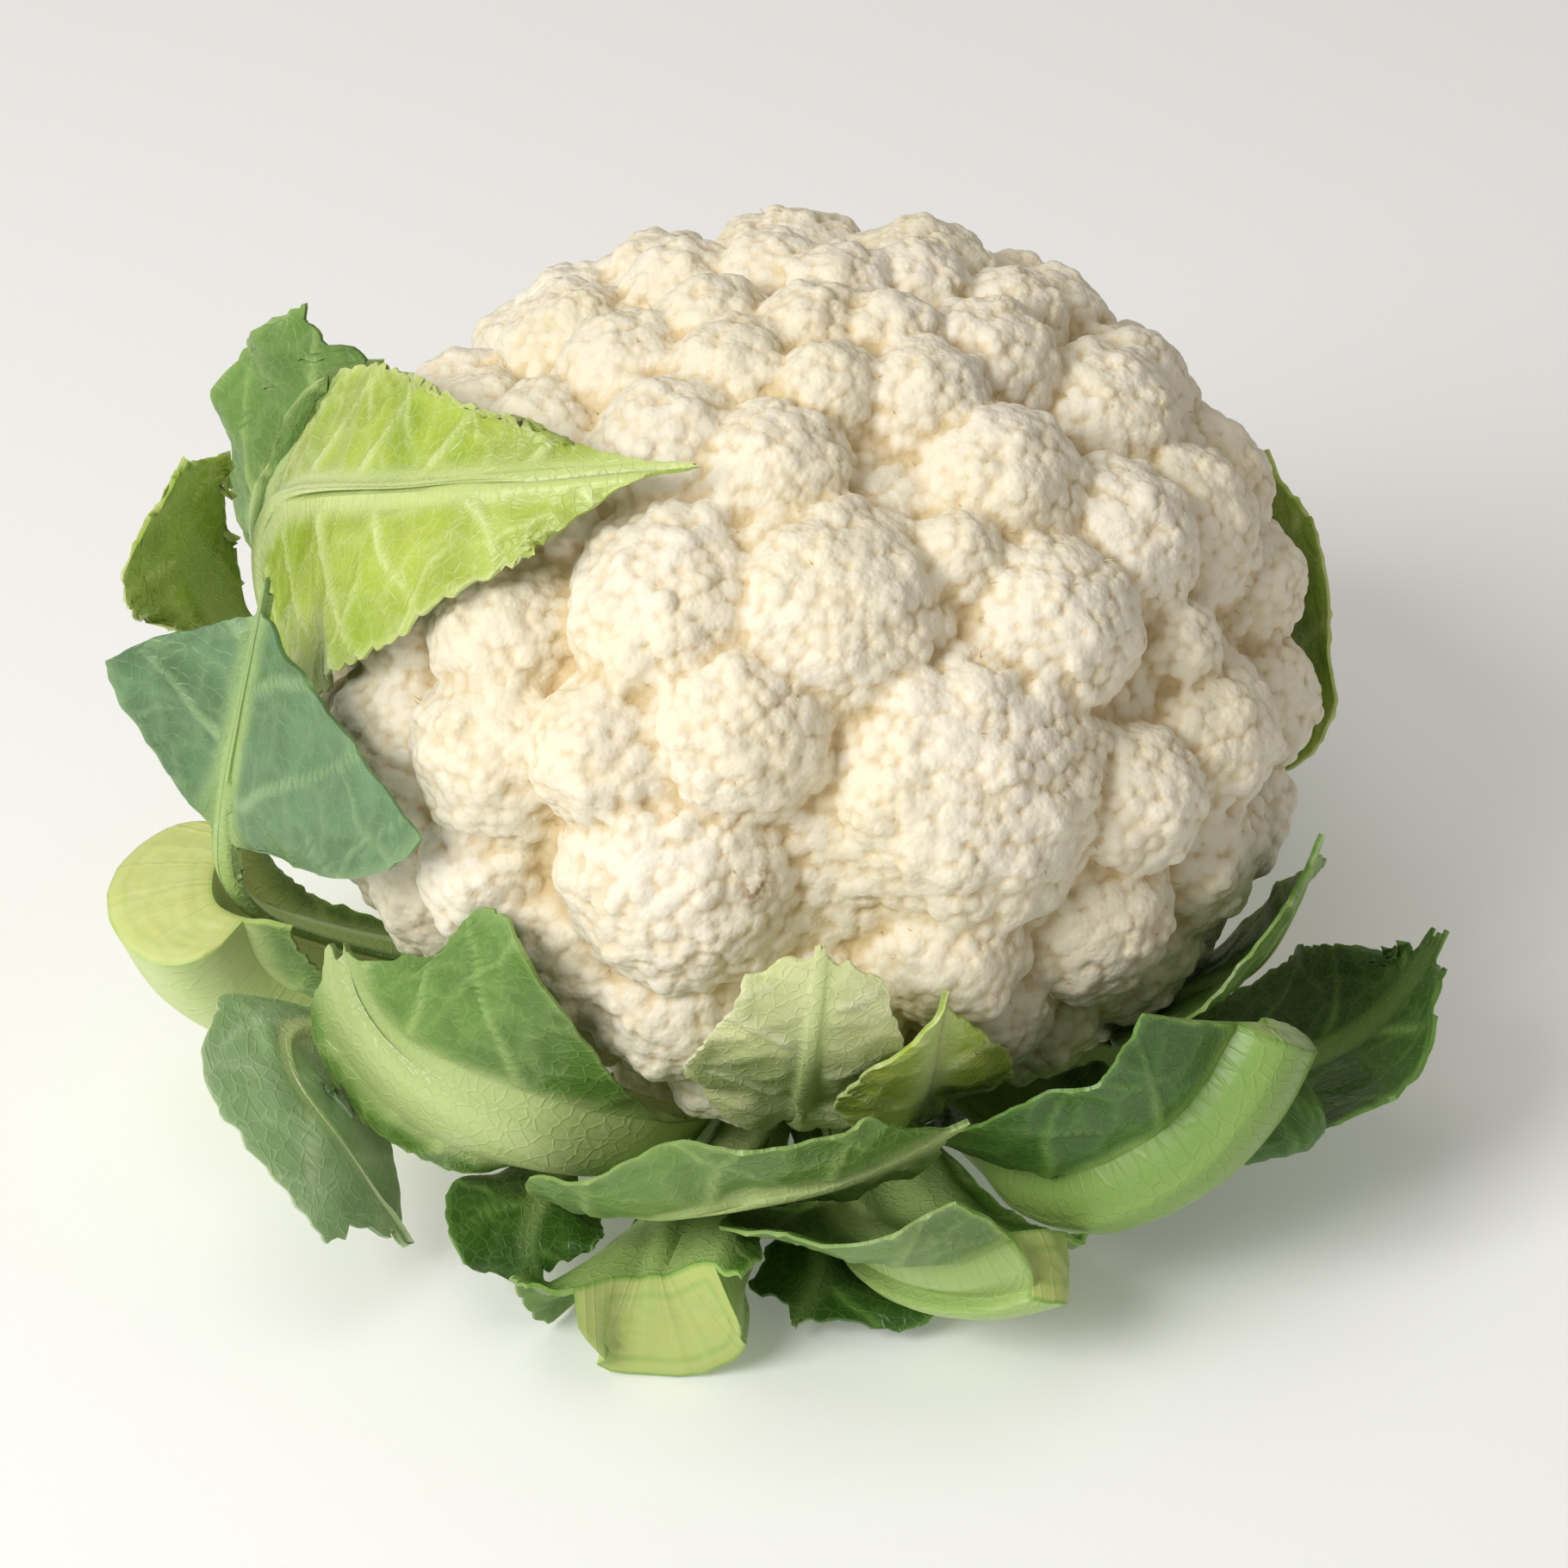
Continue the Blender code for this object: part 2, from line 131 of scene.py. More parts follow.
# The leaves as the CAD lays them, from the innermost out. route: the midrib's points as degrees
# round, radius and height. stalk and depth: its width and depth at the base, the middle and the
# end. blade: where it starts along the route, its reach to the left and right of the rib, and the
# share of that reach left at the end. fold and curl: how far each side turns towards the head, at
# the rib and again by its edge. roll: twist on the way. slot: the part slot that its looks fill.
Leaf = namedtuple("Leaf", "name route stalk depth blade fold curl roll slot")

PALE = "leaf_pale"
YELLOW_GREEN = "leaf_yellow_green"
BLUE_GREEN = "leaf_blue_green"
MID_GREEN = "leaf_mid_green"
DARK_GREEN = "leaf_dark_green"

LEAVES = (
    Leaf("front_pale_inner_leaf", ((-2, 27, 21), (-2, 52, 25), (-1, 76, 44), (0, 88, 65), (1, 89, 83)),
         (9, 5, 3), (3, 3, 1.5), (0.3, 15, 13, 0.5), (0, 0), (6, 6), 0, PALE),
    Leaf("front_bright_inner_leaf", ((24, 27, 21), (18, 54, 26), (13, 78, 46), (13, 88, 72)),
         (9, 5, 2), (3, 3, 1.5), (0.4, 11, 11, 0.1), (0, 0), (6, 6), 0, YELLOW_GREEN),
    Leaf("back_inner_leaf", ((166, 27, 21), (166, 56, 26), (166, 82, 48), (166, 88, 76)),
         (10, 6, 3), (3, 3, 1.5), (0.3, 18, 18, 0.4), (0, 0), (8, 8), 0, PALE),
    Leaf("right_upright_leaf", ((58, 27, 21), (57, 56, 26), (57, 84, 46), (61, 91, 70)),
         (10, 6, 3), (3, 3, 1.5), (0.3, 18, 18, 0.4), (0, 0), (8, 8), 0, DARK_GREEN),
    Leaf("back_right_leaf", ((110, 27, 21), (110, 58, 26), (110, 85, 48), (112, 89, 68), (119, 88, 88)),
         (10, 6, 3), (3, 3, 1.5), (0.3, 18, 18, 0.25), (0, 0), (10, 10), 0, YELLOW_GREEN),
    Leaf("left_draped_leaf", ((-110, 27, 21), (-108, 60, 27), (-103, 87, 58), (-97, 87, 94),
                              (-62, 65, 124), (-20, 46, 136)),
         (11, 7, 2), (3, 4, 1.5), (0.3, 18, 26, 0.1), (0, 0), (10, 10), 0, YELLOW_GREEN),
    Leaf("back_middle_leaf", ((-168, 27, 15), (-168, 60, 20), (-168, 90, 42), (-168, 98, 82)),
         (12, 10, 5), (4, 5, 2), (0.3, 26, 26, 0.7), (0, 0), (12, 12), 0, MID_GREEN),
    Leaf("right_back_upright_leaf", ((134, 27, 15), (133, 62, 20), (131, 90, 42), (129, 96, 82)),
         (12, 10, 5), (4, 5, 2), (0.3, 26, 26, 0.6), (0, 0), (12, 12), 0, MID_GREEN),
    Leaf("back_left_curled_leaf", ((-134, 27, 15), (-128, 64, 23), (-117, 95, 52), (-112, 98, 76),
                                   (-113, 84, 96), (-113, 66, 110)),
         (11, 10, 4), (4, 5, 2), (0.58, 18, 22, 0.9), (0, 0), (10, 10), -80, DARK_GREEN),
    Leaf("left_folded_leaf", ((-84, 27, 15), (-81, 62, 21), (-76, 92, 40), (-71, 98, 60), (-69, 96, 80),
                              (-71, 88, 108)),
         (11, 6, 2), (4, 4, 1.5), (0.66, 22, 40, 0.95), (-25, 0), (-10, 8), 0, BLUE_GREEN),
    Leaf("lower_left_leaf", ((-37, 27, 8), (-28, 54, 15), (-27, 76, 27), (-38, 88, 35), (-50, 91, 41),
                             (-57, 89, 54)),
         (11, 21, 6), (5, 6, 2), (0.45, 5, 25, 0.6), (0, 10), (0, 0), -75, MID_GREEN),
    Leaf("front_rolled_leaf", ((-8, 27, 15), (-12, 56, 18), (-18, 81, 24), (-9, 91, 34), (4, 94, 42),
                               (15, 93, 50)),
         (9, 6, 3), (4, 4, 1.5), (0.25, 15, 17, 0.5), (0, 0), (10, 10), 20, MID_GREEN),
    Leaf("left_drooping_leaf", ((-60, 27, 15), (-61, 62, 18), (-59, 92, 34), (-53, 102, 38),
                                (-46, 99, 24), (-42, 94, 4)),
         (8, 5, 2), (3, 3, 1.5), (0.4, 11, 14, 0.9), (0, 0), (-10, -10), 0, BLUE_GREEN),
    Leaf("front_left_drooping_leaf", ((-48, 27, 12), (-39, 60, 11), (-32, 82, 15), (-29, 91, 12),
                                      (-27, 90, 3)),
         (6, 4, 2), (3, 3, 1.5), (0.5, 10, 9, 0.3), (0, 0), (-10, -10), 0, DARK_GREEN),
    Leaf("left_torn_leaf", ((-114, 27, 8), (-114, 70, 20), (-108, 100, 54), (-98, 104, 90),
                            (-88, 98, 114)),
         (10, 8, 3), (5, 6, 1.5), (0.6, 10, 12, 0.6), (0, 0), (0, 0), 45, YELLOW_GREEN),
    Leaf("right_outer_leaf", ((66, 27, 8), (63, 60, 12), (63, 84, 18), (68, 100, 28), (74, 108, 44)),
         (12, 9, 4), (5, 6, 2), (0.3, 26, 22, 0.25), (0, 0), (10, 10), 0, DARK_GREEN),
    Leaf("back_left_outer_leaf", ((-150, 27, 8), (-149, 66, 13), (-147, 100, 36), (-145, 106, 74)),
         (13, 20, 16), (5, 10, 8), (0.4, 16, 16, 0.8), (0, 0), (12, 12), 0, MID_GREEN),
    Leaf("back_right_outer_leaf", ((154, 27, 8), (152, 66, 13), (150, 100, 36), (148, 106, 72)),
         (13, 20, 16), (5, 10, 8), (0.4, 16, 16, 0.8), (0, 0), (12, 12), 0, MID_GREEN),
    Leaf("left_cut_stalk", ((-80, 27, 8), (-79, 63, 14), (-77, 88, 28), (-76, 95, 48)),
         (12, 18, 21), (5, 11, 18), (0.35, 5, 8, 0.5), (0, 0), (20, 20), 0, PALE),
    Leaf("right_cut_stalk", ((41, 27, 8), (34, 58, 14), (32, 82, 21), (40, 94, 34), (47, 96, 50)),
         (11, 18, 17), (5, 8, 9), (0.2, 19, 12, 0.9), (30, 25), (12, 10), 0, MID_GREEN),
    Leaf("front_right_cut_stalk", ((17, 27, 8), (12, 54, 12), (11, 74, 16), (16, 88, 21), (23, 95, 27)),
         (11, 20, 21), (5, 10, 12), (0.25, 16, 8, 0.9), (25, 5), (12, 10), 0, MID_GREEN),
    Leaf("front_left_cut_stalk", ((-18, 27, 8), (-17, 52, 14), (-16, 68, 20), (-15, 84, 23)),
         (11, 19, 22), (5, 12, 18), (0.5, 6, 6, 0.6), (30, 30), (10, 15), 0, MID_GREEN),
    Leaf("front_low_leaf", ((1, 27, 5), (1, 56, 6), (1, 77, 8), (-2, 88, 5)),
         (5, 4, 2), (3, 3, 1.5), (0.55, 8, 13, 0.3), (0, 0), (-6, -6), 0, DARK_GREEN),
)

# The curd: its core as a share of the head, the brown blemish, and the bracts in its creases.
KNOB_SEED = 11
KNOB_GROWTH = 0.35
KNOB_PER_FLORET = (0.85, 1.15)
KNOB_SIZES = (0.6, 1.25)
KNOB_BEHIND = -0.35
KNOB_CROWDING = 3.8
CORE_SHARE = 0.85
CORE_LEVEL = 5
FLORET_LEVEL = 3
KNOB_LEVEL = 2
SKIN_EASING = 2
CREASE_ROUNDS = 24
HOLLOW_ROUNDS = 150
BLEMISH_PLACE = (-6.0, 82.0)
BLEMISH_SIZE = 2.4
BRACT_SEED = 12
BRACTS = 420
BRACT_RINGS = 5
BRACT_SIDES = 5
BRACT_ROOT = 0.35
BRACT_WIDTH = 0.17
BRACT_LENGTH = (1.1, 2.3)
BRACT_HOOK = (0.3, 1.1)
BRACT_TIP = 0.92
BRACT_CREASE = 0.1
BRACT_LOWEST = 40

# The stump: the rings and the sides it is made from, its rounded rim and its leaf scars.
STUMP_TURNS = 220
STUMP_SIDE_RINGS = 30
STUMP_FACE_RINGS = 22
STUMP_RIM = 0.6
STUMP_SCAR = 0.7
STUMP_INSET = 0.8

# The leaves: how high the blade puffs between its veins, the teeth on its margin, how the rib ends,
# and how a cut end bulges and shows its flesh.
BLISTER = 0.35
TOOTH_SPACING = 3.6
RIB_FADE = 4.0
SLIM_RIB = 0.7
CUT_BULGE = 0.9
CUT_ROUGHNESS = 0.35
FLESH_DEPTH = 5.0
LOBE_SHARE = 0.09
WIDTH_LIMITS = (0.25, 1.3)
BLADE_SWELL = 0.8
RIB_DISH = 0.07
RIB_STRIPE = 0.1
VEIN_HEIGHT = 0.55
WEB_HEIGHT = 0.14
EDGE_THINNING = 0.4
VEIN_WANDER = 2.0
VEIN_LEAN = 0.55
VEIN_CURVE = 0.012
VEIN_STAGGER = 0.45

# The studio.
FLOOR_RADIUS = 6.0
FLOOR_SIDES = 64
FLOOR_GLOW = 0.13
AMBIENT = 0.29
CAMERA_UP = 35.0
CAMERA_SHIFT = (-4.1, -19.5)
CAMERA_LENS = 105.0
CAMERA_DISTANCE = 750.0
# name, degrees round, degrees up, distance and size in metres, power in watts, colour
LIGHTS = (
    ("key_softbox", -49, 37, 1.5, 0.75, 17.0, (1.0, 0.99, 0.97)),
    ("top_softbox", -100, 75, 1.4, 0.8, 3, (1.0, 1.0, 1.0)),
)

# How each leaf looks. outer, inner, patch, vein, rib, rib_dark and flesh are colours: both faces
# of the blade, its blotches, its veins, the stalk and the streaks on it, and a cut face. tip: how
# much shorter its corners are than its middle. tear, teeth and end_tear: how far its margins are
# torn and toothed. ruffle and wave: how high and how far apart the waves by its margin are. glow:
# how much light it lets in. web and blotch: how strong its fine net and its blotches are. rough:
# how dull it is. cut: whether it ends in a cut face. broad: its blade's share of the CAD's width.
Skin = namedtuple("Skin", "outer inner patch vein rib rib_dark flesh tip tear teeth end_tear ruffle "
                          "wave glow web blotch rough cut broad",
                  defaults=(0.1, 1.2, 0.5, 2.0, 1.6, 9.0, 0.15, 0.18, 0.5, 0.48, False, 1.0))

PALE_STALK = ((0.64, 0.73, 0.33), (0.46, 0.60, 0.18), (0.62, 0.66, 0.24))
GREEN_STALK = ((0.45, 0.60, 0.22), (0.24, 0.42, 0.08), (0.50, 0.58, 0.18))
DARK_STALK = ((0.33, 0.49, 0.13), (0.16, 0.30, 0.05), (0.34, 0.46, 0.14))
YELLOW_BLADE = ((0.42, 0.52, 0.075), (0.30, 0.43, 0.06), (0.30, 0.42, 0.03), (0.68, 0.76, 0.36))
PALE_BLADE = ((0.70, 0.74, 0.38), (0.64, 0.69, 0.34), (0.52, 0.62, 0.22), (0.80, 0.83, 0.56))
BLUE_BLADE = ((0.135, 0.25, 0.12), (0.085, 0.19, 0.06), (0.06, 0.15, 0.03), (0.29, 0.44, 0.21))
FROSTED_BLADE = ((0.12, 0.25, 0.07), (0.32, 0.47, 0.24), (0.20, 0.34, 0.12), (0.52, 0.64, 0.40))
GREEN_BLADE = ((0.135, 0.26, 0.05), (0.07, 0.165, 0.02), (0.08, 0.18, 0.02), (0.34, 0.48, 0.15))
DARK_BLADE = ((0.065, 0.165, 0.025), (0.035, 0.10, 0.01), (0.04, 0.105, 0.01), (0.20, 0.36, 0.08))

SKINS = {
    "front_pale_inner_leaf": Skin(*PALE_BLADE, *PALE_STALK, tip=0.07, tear=0.8, ruffle=1.2, glow=0.3),
    "front_bright_inner_leaf": Skin(*YELLOW_BLADE, *PALE_STALK, tip=0.15, ruffle=1.0, glow=0.3),
    "back_inner_leaf": Skin(*PALE_BLADE, *PALE_STALK, glow=0.3),
    "right_upright_leaf": Skin(*GREEN_BLADE, *GREEN_STALK, ruffle=2.0),
    "back_right_leaf": Skin(*YELLOW_BLADE, *PALE_STALK, tip=0.12, ruffle=2.0, glow=0.25),
    "left_draped_leaf": Skin(*YELLOW_BLADE, *PALE_STALK, tip=0.12, tear=0.5, teeth=1.0, ruffle=2.2,
        glow=0.3, rough=0.42, blotch=0.8),
    "back_middle_leaf": Skin(*GREEN_BLADE, *GREEN_STALK, tip=0.15, tear=1.6),
    "right_back_upright_leaf": Skin(*GREEN_BLADE, *GREEN_STALK, tip=0.15, tear=1.6),
    "back_left_curled_leaf": Skin(*GREEN_BLADE, *PALE_STALK, tip=0.1, tear=2.5, teeth=0.8, end_tear=6,
        ruffle=4.5, wave=7),
    "left_folded_leaf": Skin(*BLUE_BLADE, *GREEN_STALK, tip=0.15, tear=0.6, ruffle=2.0, wave=14,
        rough=0.5),
    "lower_left_leaf": Skin(*GREEN_BLADE, *PALE_STALK, tip=0.1, tear=1.6, end_tear=4, ruffle=1.5,
        broad=1.15),
    "front_rolled_leaf": Skin(*GREEN_BLADE, *PALE_STALK, tip=0.1, ruffle=2.2, tear=1.0, broad=1.2),
    "left_drooping_leaf": Skin(*FROSTED_BLADE, *PALE_STALK, tip=0.12, tear=2.0, end_tear=5, ruffle=1.5,
        broad=1.15),
    "front_left_drooping_leaf": Skin(*DARK_BLADE, *GREEN_STALK, tip=0.1, tear=2.5, end_tear=6,
        ruffle=2.5, wave=6, broad=1.15),
    "left_torn_leaf": Skin(*YELLOW_BLADE, *GREEN_STALK, tip=0.1, tear=3.0, end_tear=7, ruffle=2.5),
    "right_outer_leaf": Skin(*DARK_BLADE, *DARK_STALK, tip=0.1, tear=3.0, teeth=1.0, end_tear=6,
        ruffle=3.0, wave=10),
    "back_left_outer_leaf": Skin(*GREEN_BLADE, *GREEN_STALK, tip=0.0, tear=1.5, end_tear=1.5, cut=True),
    "back_right_outer_leaf": Skin(*GREEN_BLADE, *GREEN_STALK, tip=0.0, tear=1.5, end_tear=1.5,
        cut=True),
    "left_cut_stalk": Skin(*GREEN_BLADE, *PALE_STALK, tip=0.02, tear=0.5, end_tear=1.2, cut=True),
    "right_cut_stalk": Skin(*DARK_BLADE, *DARK_STALK, tip=0.04, tear=1.0, end_tear=1.5, cut=True,
        broad=1.15),
    "front_right_cut_stalk": Skin(*GREEN_BLADE, *GREEN_STALK, tip=0.02, tear=1.5, end_tear=5, cut=True,
        broad=1.2),
    "front_left_cut_stalk": Skin(*GREEN_BLADE, *GREEN_STALK, tip=0.02, tear=1.0, end_tear=2, cut=True,
        broad=1.2),
    "front_low_leaf": Skin(*DARK_BLADE, *GREEN_STALK, tip=0.1, tear=1.5, end_tear=3, ruffle=2.0,
        wave=7, broad=1.15),
}


def direction(around, down):
    """The unit direction this many degrees round from the front and down from the crown."""
    around, down = math.radians(around), math.radians(down)
    level = math.sin(down)
    return np.array((level * math.sin(around), -level * math.cos(around), math.cos(down)))


def head_radius(way):
    """How far the head's plain rounded body reaches from its centre in a direction."""
    level = (way[0] ** 2 + way[1] ** 2) / (HEAD_WIDTH / 2) ** 2
    return 1.0 / math.sqrt(level + (way[2] / (HEAD_HEIGHT / 2)) ** 2)


def spiral(trials):
    """Directions on an even spiral down to the lowest floret, each with its radians down."""
    for step in range(trials):
        height = 1.0 - (1.0 - math.cos(math.radians(LOWEST_FLORET))) * (step + 0.5) / trials
        down = math.acos(height)
        yield direction(step * GOLDEN_ANGLE, math.degrees(down)), down


def florets():
    """Every floret as (centre from the head's centre, radius): landmarks, then a spiral packing."""
    dice = random.Random(FLORET_SEED)
    placed = [(direction(around, down), radius) for around, down, radius in LANDMARK_FLORETS]
    for way, down in spiral(SPIRAL_TRIALS):
        share = min(1.0, down / math.radians(FULL_SIZE_DOWN))
        usual = CROWN_FLORET + (SIDE_FLORET - CROWN_FLORET) * share
        radius = usual + dice.uniform(-1, 1) * FLORET_SPREAD
        if all(floret_room(way, radius, other, size) for other, size in placed):
            placed.append((way, radius))
    return [(way * (head_radius(way) - radius), radius) for way, radius in placed]


def floret_room(way, radius, other, size):
    apart = np.linalg.norm(way * head_radius(way) - other * head_radius(other))
    return apart > FLORET_SPACING * (radius + size)


def curd_reach(ways, balls):
    """How far the CAD's curd reaches from the head's centre in each direction."""
    reach = np.array([head_radius(way) for way in ways]) - CROWN_FLORET * CORE_BELOW_FLORETS
    for centre, radius in balls:
        along = ways @ centre
        inside = radius ** 2 - centre @ centre + along ** 2
        reach = np.where(inside > 0, np.maximum(reach, along + np.sqrt(np.maximum(inside, 0))), reach)
    return np.minimum(reach, neck_limit(ways))


def neck_limit(ways):
    """How far the underside reaches: a flat over the stump, then a cone that rises outwards."""
    downward = np.maximum(-ways[:, 2], 1e-6)
    level = np.hypot(ways[:, 0], ways[:, 1])
    under = HEAD_CENTRE_Z - STUMP_TOP_Z - GAP
    cone = (under + NECK_SLOPE * NECK_RADIUS) / (downward + NECK_SLOPE * level)
    return np.minimum(under / downward, cone)


def spread_directions(count):
    """Evenly spread unit directions, from the crown down."""
    steps = np.arange(count) + 0.5
    height = 1.0 - 2.0 * steps / count
    turn = np.radians(GOLDEN_ANGLE) * steps
    level = np.sqrt(1.0 - height ** 2)
    return np.stack((level * np.sin(turn), -level * np.cos(turn), height), axis=1)


def smooth_step(value):
    value = np.clip(value, 0.0, 1.0)
    return value * value * (3.0 - 2.0 * value)


def through_three(values, along):
    """The smooth curve that has these three values at the start, the middle and the end."""
    first, middle, last = values
    return first + (4 * middle - 3 * first - last) * along + 2 * (first + last - 2 * middle) * along ** 2


def smooth_route(route, spacing):
    """Evenly spaced points on a smooth curve through the route's points, and its length."""
    marks = [(r * math.sin(math.radians(a)), -r * math.cos(math.radians(a)), z) for a, r, z in route]
    marks = np.array(marks, float)
    ends = np.vstack((2 * marks[0] - marks[1], marks, 2 * marks[-1] - marks[-2]))
    fine = []
    for before, start, stop, after in zip(ends, ends[1:], ends[2:], ends[3:]):
        for t in np.linspace(0, 1, CURVE_STEPS, endpoint=False):
            fine.append(0.5 * (2 * start + (stop - before) * t
                               + (2 * before - 5 * start + 4 * stop - after) * t ** 2
                               + (3 * start - before - 3 * stop + after) * t ** 3))
    fine = np.array(fine + [marks[-1]])
    run = np.concatenate(([0], np.cumsum(np.linalg.norm(np.diff(fine, axis=0), axis=1))))
    wanted = np.linspace(0, run[-1], 1 + math.ceil(run[-1] / spacing))
    return np.stack([np.interp(wanted, run, fine[:, axis]) for axis in range(3)], axis=1), run[-1]


def frames_along(spine, roll):
    """Inner normal and rightward side at each point, carried along with no sudden twist."""
    tangents = np.gradient(spine, axis=0)
    tangents /= np.linalg.norm(tangents, axis=1)[:, None]
    normal = np.array((0, 0, HEAD_CENTRE_Z)) - spine[0]
    normals, sides = [], []
    for step, tangent in enumerate(tangents):
        normal = normal - tangent * (normal @ tangent)
        normal /= np.linalg.norm(normal)
        side = np.cross(normal, tangent)
        turn = math.radians(roll) * step / (len(spine) - 1)
        normals.append(normal * math.cos(turn) + side * math.sin(turn))
        sides.append(side * math.cos(turn) - normal * math.sin(turn))
    return np.array(normals), np.array(sides)


def leaf_widths(leaf, along):
    """The rib's half width and depth, and each side's edge, at these shares of the route."""
    rib = through_three(leaf.stalk, along) / 2
    depth = through_three(leaf.depth, along)
    start, left, right, left_over = leaf.blade
    reached = np.clip((along - start) / (1 - start), 0, 1)
    narrowing = smooth_step((reached - NARROWING_FROM) / (1 - NARROWING_FROM))
    growth = smooth_step(reached / FULL_BLADE) * (1 - (1 - left_over) * narrowing)
    return rib, depth, [rib + BLADE_MARGIN + reach * growth for reach in (left, right)]


def leaf_grid(leaf):
    """The CAD leaf's inner face as a grid of points, how deep it is behind them, and its length."""
    spine, length = smooth_route(leaf.route, STATION_SPACING)
    normals, sides = frames_along(spine, leaf.roll)
    rib, depth, edges = leaf_widths(leaf, np.linspace(0, 1, len(spine)))
    columns, depths = [], []
    for index, hand in enumerate((-1, 1)):
        edge, fold, curl = edges[index], leaf.fold[index], leaf.curl[index]
        marks = [share * rib for share in BACK_PLACES] + [(rib + edge) / 2, edge]
        swell = BACK_DEPTHS + (0.0, 0.0)
        place = spine.copy()
        half = [place]
        for inner, outer in zip(marks, marks[1:]):
            full = rib + leaf.blade[1 + index] + BLADE_MARGIN
            angle = np.radians(fold + curl * (inner + outer) / full)
            step = (outer - inner)[:, None]
            level, inward = hand * np.cos(angle)[:, None], np.sin(angle)[:, None]
            place = place + step * (level * sides + inward * normals)
            half.append(place)
        columns.append(half)
        extra = np.maximum(depth - BLADE_THICKNESS, 0)
        depths.append([BLADE_THICKNESS + share * extra for share in swell])
    grid = np.stack(columns[0][:0:-1] + columns[1], axis=1)
    return grid, np.stack(depths[0][:0:-1] + depths[1], axis=1), length


def spread_push(push):
    """Eases a push over its neighbours, never to less than was asked for."""
    for _ in range(PUSH_ROUNDS):
        padded = np.pad(push, 1, mode="edge")
        around = [padded[1 + i:1 + i + push.shape[0], 1 + j:1 + j + push.shape[1]]
                  for i in (-1, 0, 1) for j in (-1, 0, 1)]
        eased = PUSH_FOLLOW * np.max(around, axis=0) + (1 - PUSH_FOLLOW) * np.mean(around, axis=0)
        push = np.maximum(push, eased)
    return push


def outermost(ways, trees, clearance, needed):
    """Raises the needed distances to clear whatever lies furthest out along each direction."""
    far = 2 * HEAD_WIDTH
    centre = Vector((0, 0, HEAD_CENTRE_Z))
    for index, way in enumerate(ways):
        way = Vector(way)
        for tree in trees:
            distance = tree.ray_cast(centre + way * far, -way, far)[3]
            if distance is not None:
                needed[index] = max(needed[index], far - distance + clearance)
    return needed


def lay_outside(grid, balls, laid):
    """Moves a grid straight out from the head's centre until it clears the curd and earlier leaves."""
    offset = grid - (0, 0, HEAD_CENTRE_Z)
    radius = np.linalg.norm(offset, axis=2)
    ways = offset / radius[:, :, None]
    flat_ways = ways.reshape(-1, 3)
    needed = outermost(flat_ways, laid, LEAF_CLEARANCE, curd_reach(flat_ways, balls) + CURD_CLEARANCE)
    push = np.maximum(needed.reshape(radius.shape) - radius, 0)
    return grid + ways * spread_push(push)[:, :, None]


def grid_normals(grid):
    """Unit normals of the grid, pointing to the leaf's inner side."""
    cross = np.cross(np.gradient(grid, axis=1), np.gradient(grid, axis=0))
    return -cross / np.maximum(np.linalg.norm(cross, axis=2), 1e-9)[:, :, None]


def lift_off_floor(inner, outer):
    """Raises both faces of a leaf, in place, wherever either is too near the floor."""
    lift = np.maximum(FLOOR_CLEARANCE - np.minimum(inner[..., 2], outer[..., 2]), 0)
    inner[..., 2] += lift
    outer[..., 2] += lift


def ray_tree(points, faces):
    """A solid in the form that rays are cast against."""
    return BVHTree.FromPolygons([Vector(point) for point in points], faces)


def closed_leaf(inner, outer, layers):
    """Points and faces of the solid between two grids, its far end filled with layers of faces."""
    rows, columns = inner.shape[:2]
    size = rows * columns
    points = [inner.reshape(-1, 3), outer.reshape(-1, 3)]
    index = np.arange(size).reshape(rows, columns)
    a, b, c, d = index[:-1, :-1], index[:-1, 1:], index[1:, 1:], index[1:, :-1]
    quads = [np.stack((a, b, c, d), -1).reshape(-1, 4), size + np.stack((d, c, b, a), -1).reshape(-1, 4)]
    for edge, turned in ((index[:, 0], False), (index[:, -1], True), (index[0], True)):
        strip = np.stack((edge[:-1], edge[1:], size + edge[1:], size + edge[:-1]), -1)
        quads.append(strip[:, ::-1] if turned else strip)
    end = index[-1]
    shares = np.linspace(0, 1, layers + 1)[1:-1]
    below = end
    for level, share in enumerate(shares):
        between = 2 * size + level * (columns - 2) + np.arange(columns - 2)
        row = np.concatenate((end[:1], between, end[-1:]))
        points.append((inner[-1] + (outer[-1] - inner[-1]) * share)[1:-1])
        quads.append(np.stack((below[:-1], below[1:], row[1:], row[:-1]), -1))
        below = row
    quads.append(np.stack((below[:-1], below[1:], size + end[1:], size + end[:-1]), -1))
    faces = []
    for quad in np.concatenate(quads).tolist():
        face = list(dict.fromkeys(quad))
        if len(face) > 2:
            faces.append(face)
    return np.concatenate(points), faces


# ---- mesh helpers ----

def add_object(name, data):
    """A new object in the scene that holds this mesh, light or camera."""
    obj = bpy.data.objects.new(name, data)
    bpy.context.collection.objects.link(obj)
    return obj


